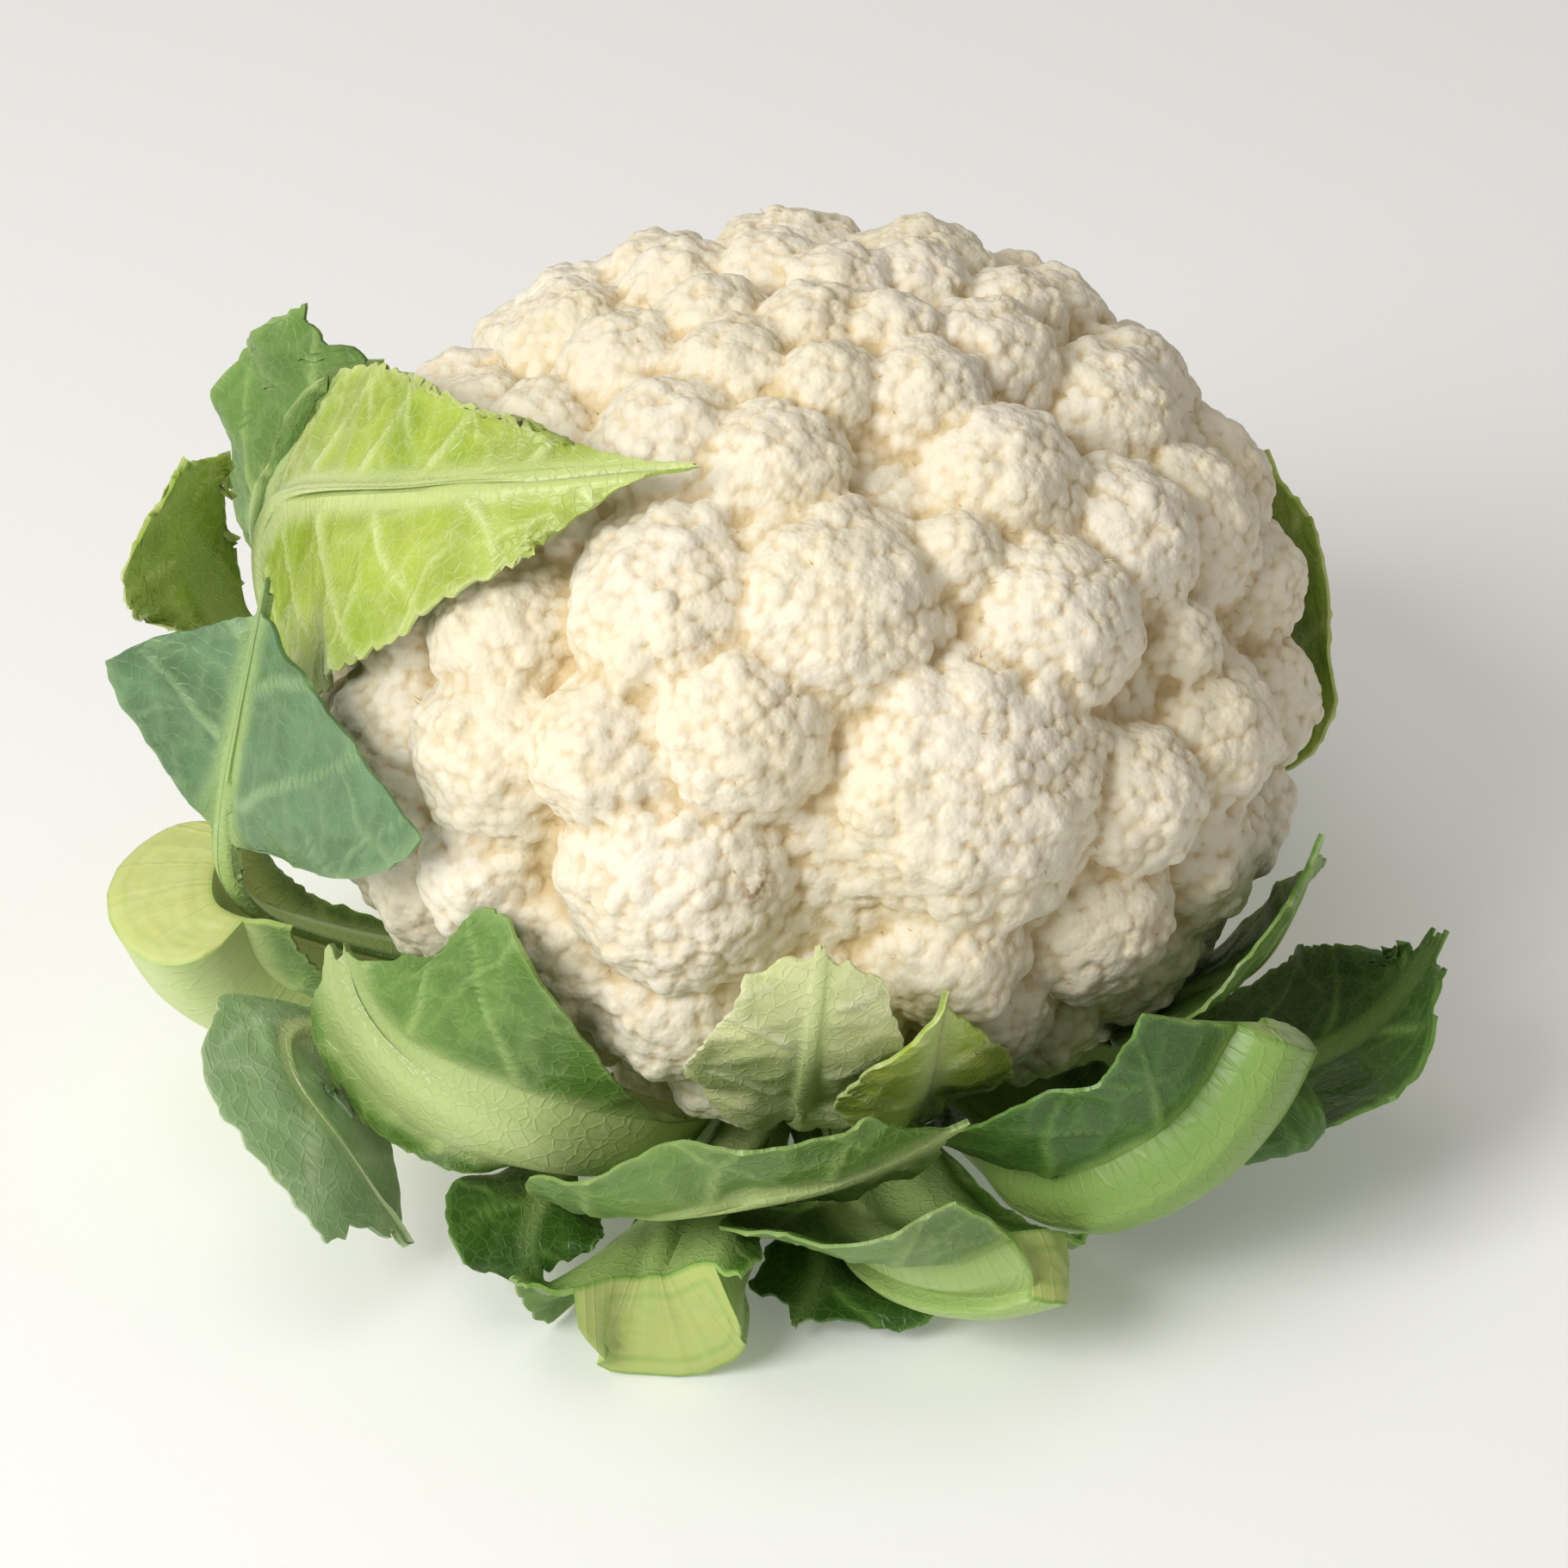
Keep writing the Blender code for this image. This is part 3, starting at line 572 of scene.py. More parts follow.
def new_piece(name, points, faces, node, attributes=(), sharp=50):
    """A smooth-shaded piece with its per-point attributes, standing for a CAD node if it names one."""
    mesh = bpy.data.meshes.new(name)
    mesh.from_pydata(np.asarray(points) * MM, [], faces)
    tidy = bmesh.new()
    tidy.from_mesh(mesh)
    if tidy.calc_volume(signed=True) < 0:
        bmesh.ops.reverse_faces(tidy, faces=tidy.faces)
    tidy.to_mesh(mesh)
    tidy.free()
    for key, values in dict(attributes).items():
        values = np.asarray(values, np.float32)
        if values.ndim == 2:
            mesh.attributes.new(key, "FLOAT_VECTOR", "POINT").data.foreach_set("vector", values.ravel())
        else:
            mesh.attributes.new(key, "FLOAT", "POINT").data.foreach_set("value", values)
    mesh.shade_smooth()
    if sharp:
        mesh.set_sharp_from_angle(angle=math.radians(sharp))
    obj = add_object(name, mesh)
    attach(obj, "root")
    if node:
        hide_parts(node)
    return obj


def ease(values, edges, count, rounds):
    """Moves each value halfway to the mean of its neighbours, this many times over."""
    first, second = edges[:, 0], edges[:, 1]
    near = np.bincount(first, minlength=count) + np.bincount(second, minlength=count)
    near = np.maximum(near, 1)
    for _ in range(rounds):
        total = np.stack([np.bincount(first, values[second, axis], count)
                          + np.bincount(second, values[first, axis], count)
                          for axis in range(values.shape[1])], axis=1)
        values = 0.5 * values + 0.5 * total / near[:, None]
    return values


def lattice_noise(x, y, seed):
    """Smooth random values from -1 to 1 that change over a distance of one."""
    table = np.random.default_rng(seed).uniform(-1, 1, (64, 64))
    column, row = np.floor(x).astype(int), np.floor(y).astype(int)
    across, down = smooth_step(x - column), smooth_step(y - row)
    corner = [table[(column + i) % 64, (row + j) % 64] for i in (0, 1) for j in (0, 1)]
    low = corner[0] + (corner[1] - corner[0]) * down
    high = corner[2] + (corner[3] - corner[2]) * down
    return low + (high - low) * across


def noise_along(x, row, seed):
    """The same noise along one line of its lattice."""
    return lattice_noise(x, np.full_like(x, row), seed)


def cell_border(x, y, seed):
    """How far each place is from a random net with cells about one across: 0 on the net itself."""
    table = np.random.default_rng(seed).uniform(0.1, 0.9, (64, 64, 2))
    column, row = np.floor(x).astype(int), np.floor(y).astype(int)
    nearest = np.full(x.shape, 9.0)
    second = np.full(x.shape, 9.0)
    for i in (-1, 0, 1):
        for j in (-1, 0, 1):
            spot = table[(column + i) % 64, (row + j) % 64]
            apart = np.hypot(column + i + spot[..., 0] - x, row + j + spot[..., 1] - y)
            second = np.minimum(second, np.maximum(nearest, apart))
            nearest = np.minimum(nearest, apart)
    return second - nearest


# ---- material helpers ----

class Paint:
    """A material's node tree, built up line by line."""

    def __init__(self, name, roughness, scatter, scatter_radius):
        self.made = bpy.data.materials.new(name)
        self.made.use_nodes = True
        self.tree = self.made.node_tree
        self.shader = self.tree.nodes["Principled BSDF"]
        self.shader.inputs["Roughness"].default_value = roughness
        self.shader.inputs["Subsurface Weight"].default_value = scatter
        self.shader.inputs["Subsurface Radius"].default_value = scatter_radius
        self.shader.inputs["Subsurface Scale"].default_value = 1.0
        self.shader.inputs["Specular IOR Level"].default_value = 0.4

    def node(self, kind, **settings):
        made = self.tree.nodes.new(kind)
        for key, value in settings.items():
            setattr(made, key, value)
        return made

    def plug(self, value, socket):
        if isinstance(value, bpy.types.NodeSocket):
            self.tree.links.new(value, socket)
        elif isinstance(value, tuple):
            socket.default_value = (*value, 1.0)
        else:
            socket.default_value = value

    def attribute(self, name):
        return self.node("ShaderNodeAttribute", attribute_name=name).outputs["Fac"]

    def place(self, name=None):
        """Where a pattern is read: the object's own metres, or a vector attribute."""
        if name:
            return self.node("ShaderNodeAttribute", attribute_name=name).outputs["Vector"]
        return self.node("ShaderNodeTexCoord").outputs["Object"]

    def math(self, operation, first, second=0.0, clamp=False):
        made = self.node("ShaderNodeMath", operation=operation, use_clamp=clamp)
        self.plug(first, made.inputs[0])
        self.plug(second, made.inputs[1])
        return made.outputs[0]

    def ramp(self, value, low, high, to_low=0.0, to_high=1.0):
        made = self.node("ShaderNodeMapRange", interpolation_type="SMOOTHSTEP")
        for socket, given in zip(made.inputs, (value, low, high, to_low, to_high)):
            self.plug(given, socket)
        return made.outputs[0]

    def mix(self, share, first, second, blend="MIX"):
        made = self.node("ShaderNodeMix", data_type="RGBA", blend_type=blend)
        self.plug(share, made.inputs["Factor"])
        self.plug(first, made.inputs[6])
        self.plug(second, made.inputs[7])
        return made.outputs[2]

    def grey(self, value):
        made = self.node("ShaderNodeCombineColor")
        for socket in made.inputs[:3]:
            self.plug(value, socket)
        return made.outputs[0]

    def noise(self, size, place, detail=3.0, roughness=0.5):
        """Noise whose features are about this many metres across."""
        made = self.node("ShaderNodeTexNoise")
        self.plug(place, made.inputs["Vector"])
        made.inputs["Scale"].default_value = 1.0 / size
        made.inputs["Detail"].default_value = detail
        made.inputs["Roughness"].default_value = roughness
        return made.outputs["Fac"]

    def cells(self, size, place, feature="F1"):
        made = self.node("ShaderNodeTexVoronoi", feature=feature)
        self.plug(place, made.inputs["Vector"])
        made.inputs["Scale"].default_value = 1.0 / size
        return made.outputs["Distance"]

    def bump(self, height, distance, under=None):
        made = self.node("ShaderNodeBump")
        made.inputs["Distance"].default_value = distance
        self.plug(height, made.inputs["Height"])
        if under:
            self.plug(under, made.inputs["Normal"])
        return made.outputs["Normal"]

    def finish(self, colour, normal, roughness=None):
        self.plug(colour, self.shader.inputs["Base Color"])
        self.plug(normal, self.shader.inputs["Normal"])
        if roughness:
            self.plug(roughness, self.shader.inputs["Roughness"])
        return self.made


# ---- the curd ----

def grown_florets(balls):
    """The florets swollen until they meet, their tops below the CAD's, and small ones in the gaps."""
    placed, grown = [], []
    for centre, radius in balls:
        far = np.linalg.norm(centre)
        way = centre / far
        placed.append((way, radius))
        grown.append((way * (far + radius - FLORET_INSET - radius * SWELL), radius * SWELL))
    dice = random.Random(FILLER_SEED)
    for way, _ in spiral(FILLER_TRIALS):
        radius = dice.uniform(*FILLER_RADIUS)
        if all(floret_room(way, radius, other, size * FILLER_OVERLAP) for other, size in placed):
            placed.append((way, radius))
            grown.append((way * (head_radius(way) - radius - FILLER_INSET), radius))
    return grown


def knobs(balls):
    """Small balls of mixed size spread over the outer face of each floret."""
    dice = random.Random(KNOB_SEED)
    made = []
    for centre, radius in balls:
        outward = centre / np.linalg.norm(centre)
        size = KNOB_RADIUS * (radius / SIDE_FLORET) ** KNOB_GROWTH * dice.uniform(*KNOB_PER_FLORET)
        count = round(KNOB_CROWDING * (radius / size) ** 2)
        turn = np.radians(dice.uniform(0, 360))
        cosine, sine = math.cos(turn), math.sin(turn)
        spin = np.array(((cosine, -sine, 0), (sine, cosine, 0), (0, 0, 1)))
        for way in spread_directions(count) @ spin:
            way = way + np.array([dice.uniform(-KNOB_STRAY, KNOB_STRAY) for _ in range(3)])
            way /= np.linalg.norm(way)
            knob = size * dice.uniform(*KNOB_SIZES)
            if way @ outward > KNOB_BEHIND:
                made.append((centre + way * (radius - KNOB_SUNK * knob), knob))
    return made


def ball_mesh(balls, level):
    """Points and faces of an icosphere at each ball."""
    shape = bmesh.new()
    bmesh.ops.create_icosphere(shape, subdivisions=level, radius=1.0)
    points = np.array([vert.co for vert in shape.verts])
    faces = np.array([[vert.index for vert in face.verts] for face in shape.faces])
    shape.free()
    placed = [points * radius + centre for centre, radius in balls]
    numbered = [faces + index * len(points) for index in range(len(balls))]
    return np.concatenate(placed), np.concatenate(numbered)


def join_balls(groups):
    """One closed skin round every group of overlapping solids."""
    points, faces, start = [], [], 0
    for group_points, group_faces in groups:
        points.append(group_points)
        faces.append(group_faces + start)
        start += len(group_points)
    mesh = bpy.data.meshes.new("joined")
    mesh.from_pydata(np.concatenate(points) * MM, [], np.concatenate(faces))
    obj = add_object("joined", mesh)
    remesh = obj.modifiers.new("skin", "REMESH")
    remesh.mode = "VOXEL"
    remesh.voxel_size = VOXEL * MM
    graph = bpy.context.evaluated_depsgraph_get()
    skin = bpy.data.meshes.new_from_object(obj.evaluated_get(graph))
    bpy.data.objects.remove(obj, do_unlink=True)
    return skin


def read(items, key, width, kind=np.float32):
    """One property of all of a mesh's points, edges or faces, in rows of this width."""
    values = np.empty(len(items) * width, kind)
    items.foreach_get(key, values)
    return values.reshape(-1, width)


def mesh_points(mesh):
    return read(mesh.vertices, "co", 3).astype(float) / MM


def mesh_normals(mesh):
    return read(mesh.vertex_normals, "vector", 3).astype(float)


def set_points(mesh, points):
    mesh.vertices.foreach_set("co", (points * MM).astype(np.float32).ravel())
    mesh.update()


def thin_out(points, spacing, most, seed):
    """Indices of points in random order that are at least this far from each other."""
    order = np.random.default_rng(seed).permutation(len(points))[:most]
    cells = {}
    kept = []
    for index in order.tolist():
        point = points[index]
        cell = tuple((point // spacing).astype(int).tolist())
        near = (other for i in (-1, 0, 1) for j in (-1, 0, 1) for k in (-1, 0, 1)
                for other in cells.get((cell[0] + i, cell[1] + j, cell[2] + k), ()))
        if all(math.dist(point, other) >= spacing for other in near):
            cells.setdefault(cell, []).append(point.tolist())
            kept.append(index)
    return kept


def domes(points, normals):
    """Raises rounded grains of mixed size, and says how high each point is on its grain."""
    kept = thin_out(points, GRAIN_SPACING * GRAIN_CROWDING, len(points) // 3, GRAIN_SEED)
    tree = KDTree(len(kept))
    for place, index in enumerate(kept):
        tree.insert(Vector(points[index]), place)
    tree.balance()
    size = np.random.default_rng(GRAIN_SEED).uniform(*GRAIN_SIZES, len(kept)).tolist()
    raised = np.empty(len(points))
    for index, point in enumerate(points):
        best = 0.0
        for _, grain, near in tree.find_n(Vector(point), 3):
            share = near / (GRAIN_REACH * GRAIN_SPACING * size[grain])
            if share < 1.0:
                best = max(best, size[grain] * math.sqrt(1.0 - share * share))
        raised[index] = best
    return points + normals * (GRAIN_HEIGHT * (raised - GRAIN_LEVEL))[:, None], raised


def depth_below(points, normals, edges, rounds):
    """How far each point lies below its smoothed surroundings."""
    eased = ease(points, edges, len(points), rounds)
    return np.sum((eased - points) * normals, axis=1)


def add_curd(balls):
    inset = grown_florets(balls)
    core_points, core_faces = ball_mesh([(np.zeros(3), 1.0)], CORE_LEVEL)
    core_points = core_points * (HEAD_WIDTH / 2, HEAD_WIDTH / 2, HEAD_HEIGHT / 2) * CORE_SHARE
    skin = join_balls(((core_points, core_faces), ball_mesh(inset, FLORET_LEVEL),
                       ball_mesh(knobs(inset), KNOB_LEVEL)))
    edges = read(skin.edges, "vertices", 2, np.int32)
    points = ease(mesh_points(skin), edges, len(skin.vertices), SKIN_EASING)
    set_points(skin, points)
    points, grain = domes(points, mesh_normals(skin))
    set_points(skin, points)
    points[:, 2] = np.maximum(points[:, 2], STUMP_TOP_Z + GAP - HEAD_CENTRE_Z)
    set_points(skin, points)
    normals = mesh_normals(skin)
    fine = depth_below(points, normals, edges, CREASE_ROUNDS)
    wide = depth_below(points, normals, edges, HOLLOW_ROUNDS)
    spot = direction(*BLEMISH_PLACE)
    outward = points @ spot
    aside = np.linalg.norm(points - outward[:, None] * spot, axis=1)
    stain = np.where(outward > 0, np.exp(-(aside / BLEMISH_SIZE) ** 2), 0.0)
    points[:, 2] += HEAD_CENTRE_Z
    faces = read(skin.polygons, "vertices", 4, np.int32)
    bpy.data.meshes.remove(skin)
    # grain, crease and hollow also serve as the masks for the painted shade in the curd's recesses.
    attributes = {"crease": fine, "hollow": wide, "grain": grain, "stain": stain}
    obj = new_piece("curd_flesh", points, faces, "curd", attributes, sharp=0)
    obj.data.materials.append(curd_paint())
    return obj, points, normals, fine


def curd_paint():
    paint = Paint("curd_flesh_skin", 0.62, 0.18, (0.0030, 0.0022, 0.0012))
    place = paint.place()
    # Painted shade: where a point sits low between the grains, down in a crease or in a wide hollow, its
    # colour is mixed towards a darker, warmer tan that stands in for the shade that falls there.
    between = paint.ramp(paint.attribute("grain"), 0.5, 0.88, 1.0, 0.0)
    crease = paint.ramp(paint.attribute("crease"), 0.0, 0.5)
    hollow = paint.ramp(paint.attribute("hollow"), 0.0, 1.6)
    broad = paint.noise(0.03, place)
    speckle = paint.noise(0.0011, place, 2.0)
    colour = paint.mix(paint.ramp(broad, 0.35, 0.65), (0.88, 0.82, 0.68), (0.86, 0.79, 0.61))
    colour = paint.mix(paint.math("MULTIPLY", between, 0.3), colour, (0.74, 0.59, 0.32))
    colour = paint.mix(paint.math("MULTIPLY", crease, 0.35), colour, (0.72, 0.56, 0.28))
    colour = paint.mix(paint.math("MULTIPLY", hollow, 0.65), colour, (0.60, 0.44, 0.20))
    colour = paint.mix(paint.ramp(speckle, 0.62, 0.85, 0.0, 0.12), colour, (0.72, 0.55, 0.30))
    patchy = paint.ramp(paint.noise(0.0016, place), 0.4, 0.6)
    stain = paint.math("MULTIPLY", paint.attribute("stain"), patchy)
    colour = paint.mix(stain, colour, (0.36, 0.20, 0.08))
    normal = paint.bump(paint.ramp(paint.cells(0.0011, place), 0.0, 0.75, 1.0, 0.0), 0.0001)
    normal = paint.bump(paint.noise(0.0004, place), 0.00003, normal)
    return paint.finish(colour, normal, paint.ramp(speckle, 0.3, 0.7, 0.52, 0.70))


def add_bracts(points, normals, crease):
    """The tiny pale hooked bracts that stand in the creases, most on the right and lower faces."""
    dice = random.Random(BRACT_SEED)
    fit = np.flatnonzero((crease > BRACT_CREASE) & (points[:, 2] > BRACT_LOWEST))
    on_right = smooth_step((points[fit, 0] + 10) / 60)
    low_down = smooth_step((75 - points[fit, 2]) / 30)
    weight = 0.12 + on_right * 0.7 + low_down * 0.25
    all_points, faces = [], []
    rings, sides = BRACT_RINGS, BRACT_SIDES
    while len(all_points) < BRACTS:
        pick = dice.randrange(len(fit))
        if dice.random() > weight[pick]:
            continue
        foot, outward = points[fit[pick]], normals[fit[pick]]
        sideways = np.cross(outward, [dice.uniform(-1, 1) for _ in range(3)])
        sideways /= np.linalg.norm(sideways)
        other = np.cross(outward, sideways)
        length = dice.uniform(*BRACT_LENGTH)
        hook = dice.uniform(*BRACT_HOOK)
        start = len(all_points) * (rings * sides + 1)
        made = []
        for ring in range(rings):
            share = ring / rings
            middle = foot + outward * (length * share - BRACT_ROOT) + sideways * (hook * share ** 2)
            wide = BRACT_WIDTH * (1 - share) ** 0.7
            for side in range(sides):
                turn = 2 * math.pi * side / sides
                made.append(middle + wide * (math.cos(turn) * sideways + 0.6 * math.sin(turn) * other))
        made.append(foot + outward * (length * BRACT_TIP - BRACT_ROOT) + sideways * hook)
        all_points.append(made)
        for ring in range(rings - 1):
            for side in range(sides):
                after = (side + 1) % sides
                low, high = start + ring * sides, start + (ring + 1) * sides
                faces.append((low + side, low + after, high + after, high + side))
        top = start + (rings - 1) * sides
        tip = start + rings * sides
        faces += [(top + side, top + (side + 1) % sides, tip) for side in range(sides)]
        faces.append(tuple(start + side for side in reversed(range(sides))))
    obj = new_piece("curd_bracts", np.array(all_points).reshape(-1, 3), faces, None, sharp=0)
    paint = Paint("curd_bracts_skin", 0.55, 0.1, (0.001, 0.0008, 0.0005))
    tone = paint.ramp(paint.noise(0.004, paint.place()), 0.35, 0.65)
    colour = paint.mix(tone, (0.80, 0.70, 0.46), (0.58, 0.42, 0.20))
    normal = paint.bump(paint.noise(0.0005, paint.place()), 0.00005)
    obj.data.materials.append(paint.finish(colour, normal))


# ---- the stump ----

def add_stump():
    """The cut stump: a slightly knobbly side with leaf scars, and the flat cut face with its pith."""
    turns = STUMP_TURNS
    angle = np.linspace(0, 2 * np.pi, turns, endpoint=False)
    rings, levels, cut = [], [], []
    for radius in np.linspace(0.06, 0.97, STUMP_FACE_RINGS):
        rough = 0.12 * noise_along(angle * 6 / np.pi + 9, radius * 14, 21)
        rings.append(np.full(turns, (STUMP_RADIUS - STUMP_RIM) * radius))
        levels.append(0.14 + rough)
        cut.append(np.ones(turns))
    for z in np.linspace(1.0, STUMP_TOP_Z, STUMP_SIDE_RINGS):
        scar = noise_along(angle * 8 / np.pi, z / 6.5, 22)
        rounding = 0.5 * np.exp(-(z - 1) / 0.8)
        flare = STUMP_FLARE * z / STUMP_TOP_Z
        rings.append(STUMP_RADIUS - rounding + flare + STUMP_SCAR * scar - STUMP_INSET)
        levels.append(np.full(turns, z))
        cut.append(np.full(turns, 1.0 if z < 1.5 else 0.0))
    rings.append(np.full(turns, STUMP_RADIUS * 0.5))
    levels.append(np.full(turns, STUMP_TOP_Z))
    cut.append(np.zeros(turns))
    radius, z = np.array(rings), np.maximum(np.array(levels), 0.0)
    points = np.stack((radius * np.cos(angle), radius * np.sin(angle), z), -1).reshape(-1, 3)
    index = np.arange(len(rings) * turns).reshape(-1, turns)
    low, high = index[:-1], index[1:]
    faces = np.stack((low, np.roll(low, -1, 1), np.roll(high, -1, 1), high), -1).reshape(-1, 4).tolist()
    faces += [index[0].tolist()[::-1], index[-1].tolist()]
    obj = new_piece("stem_stump", points, faces, "stem", {"cut": np.concatenate(cut)})
    paint = Paint("stem_stump_skin", 0.5, 0.12, (0.002, 0.002, 0.001))
    place = paint.place()
    spread = paint.node("ShaderNodeVectorMath", operation="MULTIPLY")
    paint.plug(place, spread.inputs[0])
    spread.inputs[1].default_value = (1, 1, 0)
    length = paint.node("ShaderNodeVectorMath", operation="LENGTH")
    paint.plug(spread.outputs[0], length.inputs[0])
    from_middle = length.outputs["Value"]
    ring = paint.math("MULTIPLY", paint.ramp(from_middle, 0.014, 0.0165),
                      paint.ramp(from_middle, 0.0165, 0.019, 1.0, 0.0))
    flesh = paint.mix(ring, (0.78, 0.76, 0.50), (0.48, 0.55, 0.24))
    browning = paint.ramp(paint.noise(0.006, place), 0.45, 0.7, 0.0, 0.5)
    flesh = paint.mix(browning, flesh, (0.62, 0.50, 0.26))
    mottle = paint.ramp(paint.noise(0.008, place), 0.35, 0.65)
    side = paint.mix(mottle, (0.60, 0.64, 0.34), (0.42, 0.50, 0.20))
    colour = paint.mix(paint.attribute("cut"), side, flesh)
    obj.data.materials.append(paint.finish(colour, paint.bump(paint.noise(0.0012, place), 0.0003)))


# ---- the leaves ----

def sample(grid, row, column):
    """The smooth surface through a coarse grid, read at these fractional rows and columns."""
    padded = grid
    for axis in (0, 1):
        first, second = np.take(padded, [0], axis), np.take(padded, [1], axis)
        last, before = np.take(padded, [-1], axis), np.take(padded, [-2], axis)
        padded = np.concatenate((2 * first - second, padded, 2 * last - before), axis)
    total = 0
    low_row = np.clip(np.floor(row).astype(int), 0, grid.shape[0] - 2)
    low_column = np.clip(np.floor(column).astype(int), 0, grid.shape[1] - 2)
    row_weights = spline_weights(row - low_row)
    column_weights = spline_weights(column - low_column)
    for i in range(4):
        for j in range(4):
            weight = row_weights[i] * column_weights[j]
            total = total + weight[..., None] * padded[low_row + i, low_column + j]
    return total


def spline_weights(t):
    return (0.5 * (-t + 2 * t ** 2 - t ** 3), 0.5 * (2 - 5 * t ** 2 + 3 * t ** 3),
            0.5 * (t + 4 * t ** 2 - 3 * t ** 3), 0.5 * (-t ** 2 + t ** 3))


def columns_of(leaf):
    """Column numbers across a leaf: the rib runs from 2 to 6 and the blades lie outside it."""
    rib = max(8, math.ceil(1.2 * max(leaf.stalk) / LEAF_SPACING))
    left, right = [max(3, math.ceil(reach / LEAF_SPACING)) for reach in leaf.blade[1:3]]
    return np.concatenate((np.linspace(0, 2, left, endpoint=False),
                           np.linspace(2, 6, rib, endpoint=False), np.linspace(6, 8, right + 1)))


def outline_share(run, skin, seed):
    """How much of its CAD reach the blade has along one side: lobes, tears and teeth."""
    lobes = LOBE_SHARE * noise_along(run / 17, 3.3, seed)
    torn = skin.tear * np.maximum(0, noise_along(run / 3.1, 7.7, seed + 1)
                                  + 0.8 * noise_along(run / 11, 1.2, seed + 2) - 0.25)
    phase = run / TOOTH_SPACING + 0.8 * noise_along(run / 9, 0.0, seed + 3)
    tooth = skin.teeth * (1 - np.abs(2 * ((phase % 1) ** 0.6) - 1))
    return lobes, torn - tooth


def side_veins(run, across, rib, edge, seed):
    """Strength, from 0 to 1, of the veins that leave the midrib on both sides and curve to the tip."""
    reach = np.maximum(np.abs(across) - rib, 0)
    wander = VEIN_WANDER * lattice_noise(run / 13, across / 8, seed)
    shift = np.where(across < 0, 0.0, VEIN_STAGGER)
    phase = (run + wander - VEIN_LEAN * reach - VEIN_CURVE * reach ** 2) / VEIN_SPACING + shift
    off = np.abs(phase - np.round(phase)) * VEIN_SPACING * 0.85
    share = np.clip(reach / np.maximum(edge - rib, 1), 0, 1)
    main = np.exp(-(off / (0.95 - 0.5 * share)) ** 2) * (1 - 0.45 * share)
    fork = (run + 1.4 * wander + 0.5 * reach) / (VEIN_SPACING * 0.8) + 2.3 * shift
    fork_off = np.abs(fork - np.round(fork)) * VEIN_SPACING * 0.7
    return np.maximum(main, 0.5 * smooth_step((share - 0.35) / 0.3) * np.exp(-(fork_off / 0.45) ** 2))


def fine_leaf(number, leaf, coarse, length, laid):
    """The leaf's inner and outer faces at full detail, and what its material reads at each point."""
    skin = SKINS[leaf.name]
    rows = 1 + math.ceil(length / LEAF_SPACING)
    row, column = np.meshgrid(np.linspace(0, 1, rows), columns_of(leaf), indexing="ij")
    hand = np.sign(column - 4)
    from_rib = np.clip((np.abs(column - 4) - 2) / 2, 0, 1)
    spread = (column - 4) / 4
    end_jag = noise_along(spread * 4, 0.5, number + 40)
    if not skin.cut:
        end_jag = end_jag + 0.8 * noise_along(spread * 15, 0.0, number)
    end_share = 1 - skin.tip * np.abs(spread) ** 1.7 - (0.5 + end_jag * 0.5) * skin.end_tear / length
    along = row * end_share
    rib, depth, edges = leaf_widths(leaf, along)
    fading = 0 if skin.cut else smooth_step((along - 0.45) / 0.55)
    edge = np.where(hand < 0, edges[0], edges[1])
    run = along * length
    lobes, torn = outline_share(run, skin, number * 10 + 1)
    lobes_right, torn_right = outline_share(run, skin, number * 10 + 5)
    lobes, torn = np.where(hand < 0, lobes, lobes_right), np.where(hand < 0, torn, torn_right)
    blade = np.maximum(edge - rib, 0.1)
    wide = np.clip(skin.broad + lobes - torn / blade * smooth_step(blade / 6), *WIDTH_LIMITS)
    column = 4 + hand * (np.minimum(np.abs(column - 4), 2) + 2 * from_rib * wide)
    across = hand * np.where(from_rib > 0, rib + blade * from_rib * wide,
                             rib * np.interp(np.abs(column - 4), (0, 1, 2), (0, 0.55, 1)))
    inner = sample(coarse, along * (coarse.shape[0] - 1), column)
    normals = grid_normals(inner)
    size = 1.0 / WEB_SIZE
    net = cell_border(run * size, across * size, number + 11)
    in_blade = smooth_step((np.abs(across) - rib) / 2.5)
    veins = side_veins(run, across, rib, edge, number + 5) * in_blade
    puff = smooth_step(net / 0.45) * in_blade * (1 - veins)
    ruffle = lattice_noise(run / skin.wave, hand * 2.7 + 0.35 * from_rib, number + 70)
    ruffle = ruffle * skin.ruffle * (from_rib * smooth_step(blade / 8)) ** 1.5
    swell = BLADE_SWELL * lattice_noise(run / 14, across / 14, number + 3) * in_blade
    inner = inner + normals * (BLISTER * puff + ruffle + swell)[..., None]
    groove = np.clip(1 - (across / np.maximum(rib, 0.5)) ** 2, 0, 1)
    inner = inner - normals * (RIB_DISH * rib * groove * smooth_step(depth / 6))[..., None]
    inner = push_clear(inner, laid)
    normals = grid_normals(inner)
    round_back = np.sqrt(groove) if skin.cut else SLIM_RIB * groove
    wavering = 3 * noise_along(run / 30, 0.0, number)
    stripes = RIB_STRIPE * np.sin(across * 2.4 + wavering) * round_back * smooth_step(depth / 7)
    thin = THIN_BLADE * (1 - EDGE_THINNING * from_rib ** 2)
    thick = thin + np.maximum(depth - thin, 0) * round_back * (1 - 0.6 * fading) + stripes
    thick = thick + VEIN_HEIGHT * veins + WEB_HEIGHT * smooth_step(1 - net / 0.16) * in_blade
    outer = inner - normals * thick[..., None]
    lift_off_floor(inner, outer)
    facts = {
        "rib": smooth_step((rib + RIB_FADE - np.abs(across)) / (RIB_FADE + 1.0)) * (1 - 0.35 * fading),
        "vein": veins,
        "web": smooth_step(1 - net / 0.2) * in_blade,
        "margin": smooth_step((from_rib - 0.9) / 0.1) * smooth_step(blade / 3),
    }
    place = np.stack((run, across, np.full_like(run, 30.0 * number)), -1) * MM
    return inner, outer, thick, rib, across, facts, place


